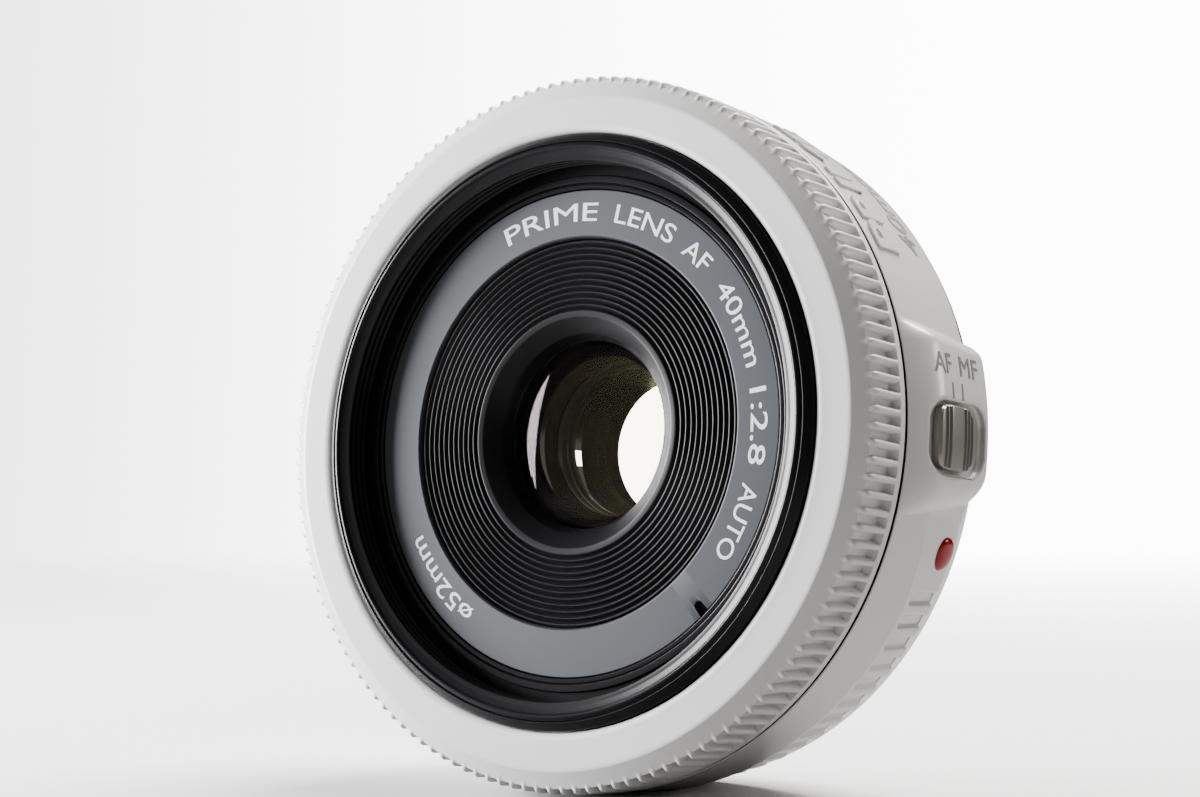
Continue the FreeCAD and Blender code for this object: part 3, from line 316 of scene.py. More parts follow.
def finish(name, slot_name, light, dark, rough=(0.3, 0.4), metallic=0.0, grain=9000.0, depth=0.02,
           rings=None, ring_depth=0.0, dust=0.0, coat=0.0, specular=0.5):
    """A material with a drifting colour, a varying roughness and a bumped surface."""
    material = bpy.data.materials.new(name)
    material.use_nodes = True
    tree = material.node_tree
    shader = tree.nodes["Principled BSDF"]
    shader.inputs["Metallic"].default_value = metallic
    shader.inputs["Coat Weight"].default_value = coat
    shader.inputs["Coat Roughness"].default_value = 0.08
    shader.inputs["Specular IOR Level"].default_value = specular
    surface_grain = use_group(tree, GRAIN, Scale=grain, Broad=140.0)
    colour = add(tree, "ShaderNodeMix", data_type="RGBA")
    colour.inputs["A"].default_value = (*dark, 1)
    colour.inputs["B"].default_value = (*light, 1)
    join(tree, surface_grain.outputs["Broad Tone"], colour.inputs["Factor"])
    tint = colour.outputs["Result"]
    if dust:
        specks = use_group(tree, DUST, Scale=1100.0, Cover=dust)
        dusty = add(tree, "ShaderNodeMix", data_type="RGBA")
        dusty.inputs["B"].default_value = (0.32, 0.31, 0.30, 1)
        join(tree, specks.outputs["Mask"], dusty.inputs["Factor"])
        join(tree, tint, dusty.inputs["A"])
        tint = dusty.outputs["Result"]
    join(tree, tint, shader.inputs["Base Color"])
    roughness = add(tree, "ShaderNodeMapRange")
    roughness.inputs["To Min"].default_value = rough[0]
    roughness.inputs["To Max"].default_value = rough[1]
    join(tree, surface_grain.outputs["Height"], roughness.inputs["Value"])
    join(tree, roughness.outputs["Result"], shader.inputs["Roughness"])
    bump = add(tree, "ShaderNodeBump", Strength=1.0)
    bump.inputs["Distance"].default_value = depth * MM
    join(tree, surface_grain.outputs["Height"], bump.inputs["Height"])
    if rings:
        marks = use_group(tree, TURNING, Rings_per_Metre=rings)
        lathe_bump = add(tree, "ShaderNodeBump", Strength=1.0)
        lathe_bump.inputs["Distance"].default_value = ring_depth * MM
        join(tree, marks.outputs["Height"], lathe_bump.inputs["Height"])
        join(tree, bump.outputs["Normal"], lathe_bump.inputs["Normal"])
        bump = lathe_bump
    join(tree, bump.outputs["Normal"], shader.inputs["Normal"])
    materials[name] = (material, slot_name)
    return material


finish("barrel_white", "white_plastic", (0.66, 0.645, 0.62), (0.63, 0.615, 0.59), (0.20, 0.30),
       grain=14000.0, depth=0.0012, coat=0.35)
finish("ring_white", "white_plastic", (0.63, 0.62, 0.61), (0.60, 0.59, 0.58), (0.34, 0.46),
       grain=16000.0, depth=0.003, rings=9000.0, ring_depth=0.0006, coat=0.05)
finish("dot_red", "red_plastic", (0.30, 0.0005, 0.004), (0.25, 0.0005, 0.003), (0.10, 0.16),
       grain=5000.0, depth=0.0005, specular=0.3)
finish("mount_chrome", "chrome_mount", (0.78, 0.77, 0.75), (0.70, 0.69, 0.67), (0.14, 0.26),
       metallic=1.0, grain=20000.0, depth=0.0004, rings=16000.0, ring_depth=0.0008)
finish("screw_steel", "steel_screws", (0.50, 0.50, 0.51), (0.40, 0.40, 0.41), (0.22, 0.36),
       metallic=1.0, grain=22000.0, depth=0.001)
finish("moulded_black", "black_plastic", (0.014, 0.014, 0.015), (0.008, 0.008, 0.009), (0.42, 0.60),
       grain=9000.0, depth=0.006, dust=0.03, specular=0.3)
finish("felt_black", "black_plastic", (0.003, 0.003, 0.003), (0.002, 0.002, 0.002), (0.85, 0.95),
       grain=26000.0, depth=0.01, specular=0.02)
finish("anodised_black", "black_metal", (0.008, 0.008, 0.009), (0.004, 0.004, 0.005), (0.17, 0.26),
       grain=16000.0, depth=0.0012, rings=12000.0, ring_depth=0.0012, dust=0.02, specular=0.16)
finish("baffle_black", "black_metal", (0.006, 0.006, 0.007), (0.003, 0.003, 0.004), (0.26, 0.36),
       grain=14000.0, depth=0.001, rings=15000.0, ring_depth=0.0008, specular=0.16)
finish("gold_plate", "gold_contacts", (0.83, 0.60, 0.24), (0.75, 0.53, 0.20), (0.12, 0.22),
       metallic=1.0, grain=12000.0, depth=0.001)
finish("board_green", "green_board", (0.016, 0.13, 0.055), (0.010, 0.09, 0.038), (0.25, 0.38),
       grain=2600.0, depth=0.004, coat=0.3)
finish("chip_black", "chip_plastic", (0.03, 0.03, 0.033), (0.02, 0.02, 0.022), (0.45, 0.6),
       grain=15000.0, depth=0.004)
finish("machined_grey", "grey_aluminium", (0.56, 0.56, 0.57), (0.48, 0.48, 0.49), (0.28, 0.42),
       metallic=1.0, grain=16000.0, depth=0.001, rings=8000.0, ring_depth=0.0015)
finish("name_ring_metal", "name_metal", (0.033, 0.036, 0.0415), (0.027, 0.030, 0.0345),
       (0.44, 0.54), specular=0.25, metallic=0.3, grain=15000.0, depth=0.001, rings=22000.0,
       ring_depth=0.0012)
finish("motor_can", "motor_metal", (0.62, 0.61, 0.58), (0.54, 0.53, 0.50), (0.24, 0.36),
       metallic=1.0, grain=12000.0, depth=0.001)
finish("acetal_cream", "gear_plastic", (0.80, 0.77, 0.68), (0.74, 0.71, 0.62), (0.36, 0.48),
       grain=9000.0, depth=0.002)
finish("cut_brass", "brass_gear", (0.72, 0.53, 0.24), (0.64, 0.46, 0.20), (0.2, 0.32),
       metallic=1.0, grain=14000.0, depth=0.001)
finish("knob_satin", "knob_metal", (0.30, 0.285, 0.255), (0.25, 0.237, 0.212), (0.26, 0.36),
       metallic=0.75, grain=15000.0, depth=0.0015)
finish("tray_grey", "knob_metal", (0.46, 0.465, 0.46), (0.42, 0.425, 0.42), (0.34, 0.46),
       metallic=0.1, grain=15000.0, depth=0.001)
finish("blade_black", "iris_steel", (0.02, 0.02, 0.022), (0.012, 0.012, 0.013), (0.32, 0.46),
       metallic=0.4, grain=16000.0, depth=0.001)
finish("letter_white", "white_plastic", (0.80, 0.80, 0.79), (0.74, 0.74, 0.73), (0.45, 0.55),
       grain=12000.0, depth=0.002)
finish("letter_grey", "knob_metal", (0.17, 0.168, 0.162), (0.13, 0.128, 0.124), (0.4, 0.5),
       grain=12000.0, depth=0.001)
finish("floor_white", "white_plastic", (0.94, 0.93, 0.92), (0.92, 0.91, 0.90), (0.45, 0.55),
       grain=900.0, depth=0.01)
print("finishes:", len(materials))

# %% [markdown]
# The floor's finish has two extra needs. It fades out with distance, so that no edge shows
# against the backdrop, and light that bounces off it meets a darker colour than the camera sees,
# so that it doesn't flatten the shading under the lens. The first is an alpha that falls with the
# distance from the lens, the second a mix of two colours.

# %% Floor finish
floor_material = materials["floor_white"][0]
floor_tree = floor_material.node_tree
floor_shader = floor_tree.nodes["Principled BSDF"]
spot = add(floor_tree, "ShaderNodeTexCoord")
reach = add(floor_tree, "ShaderNodeVectorMath", operation="LENGTH")
join(floor_tree, spot.outputs["Object"], reach.inputs[0])
fade = add(floor_tree, "ShaderNodeMapRange", interpolation_type="SMOOTHSTEP")
for socket, number in (("From Min", 0.10), ("From Max", 0.75), ("To Min", 1.0), ("To Max", 0.0)):
    fade.inputs[socket].default_value = number
join(floor_tree, reach.outputs["Value"], fade.inputs["Value"])
join(floor_tree, fade.outputs["Result"], floor_shader.inputs["Alpha"])
bounce = add(floor_tree, "ShaderNodeMix", data_type="RGBA")
bounce.inputs["A"].default_value = (0.24, 0.235, 0.23, 1)
join(floor_tree, floor_shader.inputs["Base Color"].links[0].from_socket, bounce.inputs["B"])
seen = add(floor_tree, "ShaderNodeLightPath")
join(floor_tree, seen.outputs["Is Camera Ray"], bounce.inputs["Factor"])
join(floor_tree, bounce.outputs["Result"], floor_shader.inputs["Base Color"])
floor.data.materials.append(floor_material)
print("floor nodes:", len(floor_tree.nodes))

# %% [markdown]
# Coated glass is nearly invisible where it lets light through and shows a faint tint where it
# reflects. Each element has its own reflected tint: the front one leans to rose, the inner ones
# to olive and amber. A weak noise on roughness stands for the slight haze of handled glass.

# %% Glass


def glass(name, tint, reflection, bend):
    """A clear material with a refraction index, a body tint and a coloured reflection."""
    material = bpy.data.materials.new(name)
    material.use_nodes = True
    tree = material.node_tree
    shader = tree.nodes["Principled BSDF"]
    shader.inputs["Transmission Weight"].default_value = 1.0
    shader.inputs["IOR"].default_value = bend
    shader.inputs["Specular Tint"].default_value = (*reflection, 1)
    haze = use_group(tree, GRAIN, Scale=2600.0, Broad=160.0)
    colour = add(tree, "ShaderNodeMix", data_type="RGBA")
    colour.inputs["A"].default_value = (*tint, 1)
    colour.inputs["B"].default_value = (*(min(1.0, 1.01 * part) for part in tint), 1)
    join(tree, haze.outputs["Broad Tone"], colour.inputs["Factor"])
    join(tree, colour.outputs["Result"], shader.inputs["Base Color"])
    roughness = add(tree, "ShaderNodeMapRange")
    roughness.inputs["To Min"].default_value = 0.0
    roughness.inputs["To Max"].default_value = 0.02
    join(tree, haze.outputs["Height"], roughness.inputs["Value"])
    join(tree, roughness.outputs["Result"], shader.inputs["Roughness"])
    materials[name] = (material, "clear_glass")
    return material


glass("front_glass", (0.99, 0.985, 0.975), (1.0, 0.72, 0.80), 1.18)
glass("inner_glass_olive", (0.985, 0.985, 0.93), (0.62, 0.85, 0.30), 1.22)
glass("inner_glass_amber", (0.99, 0.97, 0.93), (1.0, 0.66, 0.36), 1.18)
print("glasses:", [name for name in materials if "glass" in name])

# %% [markdown]
# Most visible parts are surfaces of revolution or close to it. A surface here is a grid of
# points: rows go round the axis and columns follow the section. One function turns any such grid
# into a mesh, closes its seams, and makes its faces point outwards by checking the sign of the
# enclosed volume.

# %% Surfaces from grids


def rounded(outline, reach=0.08, steps=4):
    """Each corner becomes a quadratic curve that starts and ends a short way along its sides."""
    corners = np.array(outline, float)
    before = np.roll(corners, 1, axis=0) - corners
    after = np.roll(corners, -1, axis=0) - corners
    length_before = np.linalg.norm(before, axis=1, keepdims=True)
    length_after = np.linalg.norm(after, axis=1, keepdims=True)
    cut = np.minimum(reach, 0.42 * np.minimum(length_before, length_after))
    start = corners + before / length_before * cut
    end = corners + after / length_after * cut
    part = np.linspace(0, 1, steps)[None, :, None]
    curve = ((1 - part) ** 2 * start[:, None] + 2 * part * (1 - part) * corners[:, None]
             + part ** 2 * end[:, None])
    return curve.reshape(-1, 2)


def mesh_from_grid(name, grid, wrap_columns=True):
    """Faces between neighbouring rows and columns; rows always close round the axis."""
    rows, columns = grid.shape[:2]
    index = np.arange(rows * columns).reshape(rows, columns)
    index = np.vstack([index, index[:1]])
    if wrap_columns:
        index = np.hstack([index, index[:, :1]])
    quads = np.stack([index[:-1, :-1], index[1:, :-1], index[1:, 1:], index[:-1, 1:]], axis=-1)
    quads = quads.reshape(-1, 4)
    points = grid.reshape(-1, 3)
    a, b, c, d = (points[quads[:, corner]] for corner in range(4))
    volume = (a * np.cross(b, c)).sum() + (a * np.cross(c, d)).sum()
    if volume < 0:
        quads = quads[:, ::-1]
    mesh = bpy.data.meshes.new(name)
    mesh.vertices.add(len(points))
    mesh.vertices.foreach_set("co", points.astype(np.float32).ravel())
    mesh.loops.add(quads.size)
    mesh.loops.foreach_set("vertex_index", quads.astype(np.int32).ravel())
    mesh.polygons.add(len(quads))
    mesh.polygons.foreach_set("loop_start", np.arange(0, quads.size, 4, dtype=np.int32))
    mesh.update(calc_edges=True)
    return mesh


def settle(name, mesh, material_name, body, replaced=(), sharp=40.0, merge=False):
    """Puts a mesh in the scene as a smooth-shaded piece of a body, in place of CAD nodes."""
    if merge:
        work = bmesh.new()
        work.from_mesh(mesh)
        bmesh.ops.remove_doubles(work, verts=work.verts, dist=1e-7)
        work.to_mesh(mesh)
        work.free()
    mesh.shade_smooth()
    mesh.set_sharp_from_angle(angle=math.radians(sharp))
    piece = bpy.data.objects.new(name, mesh)
    bpy.context.scene.collection.objects.link(piece)
    material, slot_name = materials[material_name]
    mesh.materials.clear()
    mesh.materials.append(material)
    weighted = piece.modifiers.new("even_shading", "WEIGHTED_NORMAL")
    weighted.keep_sharp = True
    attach(piece, body)
    if replaced:
        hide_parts(*replaced)
    print("%-26s %7d faces" % (name, len(mesh.polygons)))
    return piece


def round_axis(radius, forward, angle):
    """Points in metres from a radius and forward distance in mm and an angle in degrees."""
    turn = np.radians(angle)
    return np.stack([radius * np.cos(turn), -forward + 0 * turn, radius * np.sin(turn)],
                    axis=-1) * MM


def lathe(outline, segments=240):
    """The grid of a section turned about the axis: radius times cosine and sine of the angle."""
    angles = np.arange(segments)[:, None] * 360.0 / segments
    return round_axis(outline[None, :, 0], outline[None, :, 1] + 0 * angles, angles)


def turned(name, section, reach, steps, material_name, body, replaced=(), segments=240):
    """A piece whose section, with each corner rounded, is turned about the axis."""
    mesh = mesh_from_grid(name, lathe(rounded(section, reach, steps), segments))
    return settle(name, mesh, material_name, body, replaced)


# %% [markdown]
# The focus ring is one white moulding: a flat front face, a cone, and 142 finger-like ribs that
# end in a plain lip at the rear. The ribs could be separate bars, but a moulding is one skin, so
# they are a height on it instead: each rib is a rounded hump across, and rounds off to nothing at
# its front tip. Every section below lists its corners as radius and forward distance, in
# millimetres.

# %% Focus ring
RIBS = 142
RIB_DEPTH = 0.55
RIB_END = 16.9
RIB_FRONT = 20.55
RIB_TIP = 0.72
RIB_HALF = 0.255
CONE_WIDTH = 2.1
CONE_LENGTH = 1.3
FLOOR_DROP = 0.42
FLOOR_RUN = 4.3
REAR_ROUND = 0.12
LIP_RADIUS = 34.05
ring_radius = ring_high.z / MM
ring_front = -ring_low.y / MM
ring_rear = -ring_high.y / MM
floor_radius = ring_radius - RIB_DEPTH


def smooth(low, high, number):
    """A smooth step: 0 below low, 1 above high, 3t^2 - 2t^3 between."""
    part = np.clip((number - low) / (high - low), 0, 1)
    return part * part * (3 - 2 * part)


inner_side = rounded([
    (32.25, ring_rear), (32.25, 20.9), (31.2, 20.9), (31.2, 17.0), (30.46, 17.0), (30.46, 20.9),
    (28.35, 20.9), (28.35, ring_front - 0.55), (28.5, ring_front - 0.15), (29.0, ring_front),
    (29.3, ring_front), (31.8, ring_front),
], 0.12, 2)[1:-1]
levels = np.concatenate([
    ring_front - np.array([0.004, 0.03, 0.09]), np.linspace(21.95, 21.3, 4),
    np.linspace(21.24, RIB_FRONT, 9), [19.6, 18.4, 17.25], np.linspace(17.05, 16.72, 7),
    [16.45, 16.3, 16.18, 16.08, 16.02, ring_rear],
])[None, :]
start = np.concatenate([ring_radius - np.array([2.1, 2.05, 1.95]), np.full(levels.size - 3, 99.0)])
cone = ring_radius - CONE_WIDTH + CONE_WIDTH * (ring_front - levels) / CONE_LENGTH
cone = np.minimum(cone, start)
base = np.minimum(cone, floor_radius - FLOOR_DROP * (RIB_FRONT + 0.7 - levels) / FLOOR_RUN)
rib_part = np.array([-0.26, -0.235, -0.2, -0.15, -0.08, 0, 0.08, 0.15, 0.2, 0.235, 0.26, 0.5])
turns = ((np.arange(RIBS)[:, None] + rib_part[None, :]) * 360.0 / RIBS).ravel()[:, None]
across = np.tile(rib_part, RIBS)[:, None] / RIB_HALF
tip = np.clip(levels - RIB_FRONT, 0, None) / RIB_TIP
inside = np.clip(1 - np.abs(across) ** 2.6 - tip ** 2.0, 0, 1)
ribbed = base + (ring_radius - base) * np.sqrt(inside) * (levels < 21.6)
lip = smooth(RIB_END + 0.13, RIB_END - 0.06, levels)
ribbed = ribbed + (LIP_RADIUS - ribbed) * lip
over = np.clip(ring_rear + REAR_ROUND - levels, 0, REAR_ROUND)
ribbed = ribbed - REAR_ROUND + np.sqrt(REAR_ROUND ** 2 - over ** 2)
inner_radius = inner_side[None, :, 0] + 0 * turns
inner_forward = inner_side[None, :, 1] + 0 * turns
radius = np.concatenate([inner_radius, ribbed], axis=1)
forward = np.concatenate([inner_forward, levels + 0 * turns], axis=1)
settle("focus_ring_ribbed", mesh_from_grid("focus_ring_ribbed", round_axis(radius, forward, turns)),
       "ring_white", "focus_ring", ["focus_ring"], sharp=50.0)

# %% [markdown]
# The barrel behind it is a plain tube with things raised from it and sunk into it: a sloping boss
# with a round-cornered slot for the switch, a crease below it, and a field of short finger
# grooves. Its outside is one height map, the radius as a function of angle and forward distance,
# sampled finely where the detail is. The inside is a plain wall that closes the shell.

# %% Outer barrel
BARREL_RADIUS = 34.0
BARREL_FRONT = 15.4
BARREL_REAR = 1.5
SHELL_BORE = 32.3
REAR_BORE = 28.6
REAR_WALL = 2.3
REAR_TAPER = 0.9
CREASE = 9.35
CREASE_TAPER = 0.75
CREASE_DEPTH = 0.30
BOSS_RADIUS = 35.6
BOSS_FRONT = 15.3
BOSS_CLIMB = 3.9
BOSS_UPPER = 18.0
BOSS_LOWER = -12.6
SLOT_FORWARD = 8.5
SLOT_HALF_LENGTH = 4.9
SLOT_HALF_WIDTH = 3.4
SLOT_CORNER = 2.3
SLOT_FLOOR = 34.7
GRIP_FIRST = -25.5
GRIP_STEP = 4.16
GRIP_COUNT = 32
GRIP_HALF = 0.62
GRIP_FRONT = 7.1
GRIP_DEPTH = 0.42


def barrel_skin(angle, forward):
    """The outside radius: a tube, creased below the switch, plus the boss, minus the recesses."""
    crease = CREASE + 0.08 * np.clip(angle + 12.0, -16.0, 0)
    taper = CREASE_TAPER * (crease - forward) / (crease - BARREL_REAR)
    plain = BARREL_RADIUS - REAR_TAPER * np.clip((13.0 - forward) / 11.5, 0, 1) ** 1.7
    step = CREASE_DEPTH * smooth(crease + 0.25, crease - 0.35, forward)
    creased = BARREL_RADIUS - np.clip(taper, 0, None) - step
    low = smooth(-9.5, -12.5, angle) * smooth(-170.0, -166.0, angle)
    skin = plain + (creased - plain) * low
    grip_angle = (angle - GRIP_FIRST + GRIP_STEP / 2) % GRIP_STEP - GRIP_STEP / 2
    inside = ((angle < GRIP_FIRST + GRIP_STEP / 2)
              & (angle > GRIP_FIRST - GRIP_STEP * (GRIP_COUNT - 0.5)))
    sideways = np.radians(grip_angle) * BARREL_RADIUS
    ahead_of_end = np.clip(forward - (GRIP_FRONT - GRIP_HALF), 0, None)
    distance = np.hypot(sideways, ahead_of_end) - GRIP_HALF
    skin = skin - GRIP_DEPTH * smooth(0.14, -0.20, distance) * inside
    along = (BOSS_FRONT - forward) / (BOSS_FRONT - BARREL_REAR)
    upper_edge = np.radians(BOSS_UPPER - 1.5 * along - angle) * BARREL_RADIUS
    lower_edge = np.radians(angle - BOSS_LOWER - 3.2 * along) * BARREL_RADIUS
    climb = np.clip((BOSS_FRONT - forward) / BOSS_CLIMB, 0, 1)
    boss = BARREL_RADIUS + (BOSS_RADIUS - BARREL_RADIUS) * climb * (1.8 - 0.8 * climb)
    boss = boss - 3.0 + np.sqrt(9.0 - np.clip(4.0 - forward, 0, 2.9) ** 2)
    upper_rise = np.clip(upper_edge / 2.3, 0, 1)
    lower_rise = np.clip(lower_edge / 3.2, 0, 1)
    raised = upper_rise * (2 - upper_rise) * lower_rise * (2 - lower_rise)
    skin = skin + np.clip(boss - skin, 0, None) * raised
    slot_ahead = np.abs(forward - SLOT_FORWARD) - SLOT_HALF_LENGTH + SLOT_CORNER
    slot_side = np.abs(np.radians(angle)) * BOSS_RADIUS - SLOT_HALF_WIDTH + SLOT_CORNER
    slot_distance = np.hypot(np.clip(slot_side, 0, None), np.clip(slot_ahead, 0, None))
    slot_distance = slot_distance - SLOT_CORNER
    recess = smooth(0.04, -0.16, slot_distance)
    lip = 0.05 * smooth(0.28, 0.02, slot_distance) * (1 - recess)
    return skin - np.clip(skin - SLOT_FLOOR, 0, None) * recess - lip


fine = np.arange(-13.0, 20.0, 0.19)
near_dot = np.arange(-23.4, -13.0, 0.5)
grips = np.arange(GRIP_FIRST + GRIP_STEP / 2, GRIP_FIRST - GRIP_STEP * GRIP_COUNT, -GRIP_STEP / 13)
rest = np.arange(20.0, 201.0, 1.2)
angles = np.unique(np.concatenate([fine, near_dot, grips, rest]))[:, None]
levels = np.concatenate([np.linspace(BARREL_FRONT - 0.12, 14.6, 6), np.arange(14.45, 3.0, -0.145),
                         np.linspace(2.9, BARREL_REAR + 0.12, 8)])[None, :]
outside = barrel_skin(angles, levels + 0 * angles)


def column(radius, forward):
    return round_axis(radius + 0 * angles, forward + 0 * angles, angles)


edge_front = barrel_skin(angles, BARREL_FRONT + 0 * angles)
edge_rear = barrel_skin(angles, BARREL_REAR + 0.1 + 0 * angles)
shell = np.concatenate([
    column(SHELL_BORE, REAR_WALL), column(SHELL_BORE, BARREL_FRONT - 0.08),
    column(SHELL_BORE + 0.08, BARREL_FRONT),
    column(edge_front - 0.14, BARREL_FRONT), column(edge_front - 0.04, BARREL_FRONT - 0.04),
    round_axis(outside, levels + 0 * angles, angles),
    column(edge_rear - 0.06, BARREL_REAR + 0.04), column(edge_rear - 0.18, BARREL_REAR),
    column(REAR_BORE, BARREL_REAR), column(REAR_BORE, REAR_WALL),
], axis=1)
settle("barrel_shell", mesh_from_grid("barrel_shell", shell), "barrel_white", "barrel",
       ["outer_barrel"], sharp=60.0)

# %% [markdown]
# The ring turns past the barrel over a narrow gap that looks black from outside. The black is
# painted shade: a near-black plain turned band stands in the gap, just below the skins, where there
# is only shade. Its rear leg covers the barrel's front face, which would otherwise show as a pale
# line in the gap.

# %% Gap shade band (painted shade)
# Painted shade: a near-black band that makes the gap between ring and barrel look dark.
gap_shade_section = [
    (32.4, BARREL_FRONT + 0.01), (33.92, BARREL_FRONT + 0.01), (33.92, BARREL_FRONT + 0.09),
    (33.2, BARREL_FRONT + 0.14), (33.2, ring_rear - 0.1), (32.4, ring_rear - 0.1),
]
turned("gap_shade_band", gap_shade_section, 0.03, 3, "felt_black", "barrel")

# %% [markdown]
# The front barrel carries the filter thread. Its section is drawn once, corner by corner, with
# the thread as repeated notches, and turned about the axis. Corners get a small round, because a
# black part is seen mostly by the thin lights along its edges. A thin black collar round the tube
# fills the space up to the focus ring and travels with the optics. The cells and retainers that
# hold the glass are turned in the same way.

# %% Front barrel, baffle and cells
LIP = 27.45
THREAD_FRONT = 22.35
THREAD_PITCH = 0.75
THREAD_CREST = 25.6
THREAD_ROOT = 26.0
unit_front = -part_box("front_barrel")[0].y / MM
unit_rear = -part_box("front_barrel")[1].y / MM
tube_section = [
    (LIP, unit_rear), (LIP, unit_front - 0.3), (LIP - 0.4, unit_front), (LIP - 0.62, unit_front),
    (LIP - 0.8, unit_front - 0.2), (26.05, 22.42),
]
for turn in range(3):
    crest = THREAD_FRONT - THREAD_PITCH * turn
    tube_section += [(THREAD_CREST, crest), (THREAD_CREST, crest - 0.3),
                     (THREAD_ROOT, crest - 0.525)]
tube_section += [
    (THREAD_CREST, 20.1), (THREAD_CREST, 19.95), (THREAD_ROOT, 19.85), (THREAD_ROOT, 19.6),
    (24.65, 19.6), (24.6, 19.95), (23.92, 19.95), (23.9, 19.6), (23.82, 19.6), (23.8, 19.78),
    (23.36, 19.78), (23.34, 19.1), (18.6, 19.1), (18.6, 18.8), (15.0, 18.8), (15.0, 18.3),
    (26.3, 18.3), (26.3, unit_rear),
]
turned("filter_barrel", tube_section, 0.07, 4, "anodised_black", "front_unit",
       ["front_barrel"], 300)
collar_section = [
    (LIP - 0.02, 19.6), (28.28, 19.6), (28.28, unit_front - 0.7), (LIP + 0.1, unit_front - 0.15),
    (LIP - 0.02, unit_front - 0.15),
]
turned("front_collar", collar_section, 0.06, 4, "anodised_black", "front_unit", (), 300)

CREST_COUNT = 12
CREST_PITCH = 0.605
BAFFLE_SLOPE = 0.0208
BAFFLE_RADIUS = 18.45
baffle_section = [(BAFFLE_RADIUS, 18.85), (BAFFLE_RADIUS, 19.3)]
for crest in range(CREST_COUNT):
    radius = BAFFLE_RADIUS - 0.15 - crest * CREST_PITCH
    level = 19.35 - BAFFLE_SLOPE * (BAFFLE_RADIUS - radius)
    baffle_section += [(radius + 0.05, level), (radius - 0.05, level)]
    if crest < CREST_COUNT - 1:
        baffle_section.append((radius - CREST_PITCH / 2, level - 0.32))
baffle_section += [(11.1, 19.17), (9.6, 18.06), (9.05, 17.05), (10.4, 17.05), (10.4, 18.35),
                   (14.8, 18.35), (14.8, 18.85)]
turned("light_baffle", baffle_section, 0.05, 3, "baffle_black", "front_unit",
       ["grooved_baffle"], 300)

cell_section = [
    (10.6, 18.3), (16.2, 18.3), (16.2, 17.6), (11.6, 17.6), (11.6, 10.65), (7.2, 10.65),
    (7.2, 11.05), (7.95, 11.05), (7.95, 12.7), (7.95, 14.45), (9.65, 14.45), (9.65, 16.36),
    (10.6, 16.36),
]
turned("front_cell_turned", cell_section, 0.06, 3, "felt_black", "front_unit",
       ["lens_cell_front"])
rear_section = [
    (7.45, 8.2), (14.2, 8.2), (14.2, 7.4), (10.3, 7.4), (10.3, 1.5), (9.35, 1.5), (9.35, 3.68),
    (6.5, 3.68), (6.5, 5.2), (7.45, 5.45),
]
turned("rear_cell_turned", rear_section, 0.06, 3, "felt_black", "front_unit",
       ["lens_cell_rear"])
retainer_section = [(9.1, 16.5), (10.55, 16.5), (10.55, 17.0), (9.3, 17.0), (9.1, 16.8)]
turned("front_retainer_turned", retainer_section, 0.05, 3, "anodised_black", "front_unit",
       ["front_retaining_ring"])
rear_retainer = [(6.4, 1.5), (9.33, 1.5), (9.33, 2.45), (8.6, 2.45), (8.2, 1.75), (6.4, 1.6)]
turned("rear_retainer_turned", rear_retainer, 0.06, 3, "anodised_black", "front_unit",
       ["rear_retaining_ring"])

# %% [markdown]
# The name ring lies flat around the baffle. Its outer edge has one round-bottomed notch for the
# tool that turns it. The notch is a dip in the outer radius, so the ring's angles are sampled
# finely there.

# %% Name ring
NAME_INNER = 18.66
NAME_OUTER = 23.26
NAME_FRONT = 19.7
NAME_BACK = 19.1
NOTCH_ANGLE = -46.0
NOTCH_HALF = 0.5
NOTCH_DEPTH = 0.85
plain_angles = np.arange(-43.0, 311.0, 1.5)
notch_angles = np.linspace(-49.0, -43.2, 90)
angles = np.unique(np.concatenate([plain_angles, notch_angles]))[:, None]
sideways = np.radians(angles - NOTCH_ANGLE) * NAME_OUTER
round_end = np.sqrt(np.clip(NOTCH_HALF ** 2 - sideways ** 2, 0, None))
dip = (NOTCH_DEPTH + round_end) * smooth(NOTCH_HALF + 0.03, NOTCH_HALF - 0.03, np.abs(sideways))
outer = NAME_OUTER - dip
ring = np.concatenate([column(NAME_INNER, NAME_BACK), column(NAME_INNER, NAME_FRONT - 0.2),
                       column(NAME_INNER + 0.04, NAME_FRONT - 0.14),
                       column(NAME_INNER + 0.18, NAME_FRONT - 0.01),
                       column(NAME_INNER + 0.24, NAME_FRONT), column(21.0, NAME_FRONT),
                       column(outer - 0.14, NAME_FRONT), column(outer - 0.05, NAME_FRONT - 0.02),
                       column(outer, NAME_FRONT - 0.1), column(outer, NAME_BACK)],
                      axis=1)
settle("name_ring_face", mesh_from_grid("name_ring_face", ring), "name_ring_metal", "front_unit",
       ["name_ring"])

# %% [markdown]
# Six glass elements in four groups. Each face is part of a sphere, so a section runs from the
# middle of the front face along one arc, down the ground edge, and back along the other arc to
# the middle.

# %% Glass elements


def face_forward(vertex, curve, radius):
    """Forward distance on a spherical face of radius curve that meets the axis at vertex."""
    return vertex - np.copysign(abs(curve) - np.sqrt(curve ** 2 - radius ** 2), curve)


def element(name, material_name, replaced, edge, front, front_curve, rear, rear_curve):
    """A closed lens: two spherical faces and a cylindrical edge, turned about the axis."""
    spread = np.linspace(0, edge, 22)
    front_face = np.stack([spread, face_forward(front, front_curve, spread)], axis=-1)
    rear_face = np.stack([spread, face_forward(rear, rear_curve, spread)], axis=-1)[::-1]
    mesh = mesh_from_grid(name, lathe(np.vstack([front_face, rear_face]), 160), False)
    return settle(name, mesh, material_name, "front_unit", [replaced], sharp=35.0, merge=True)


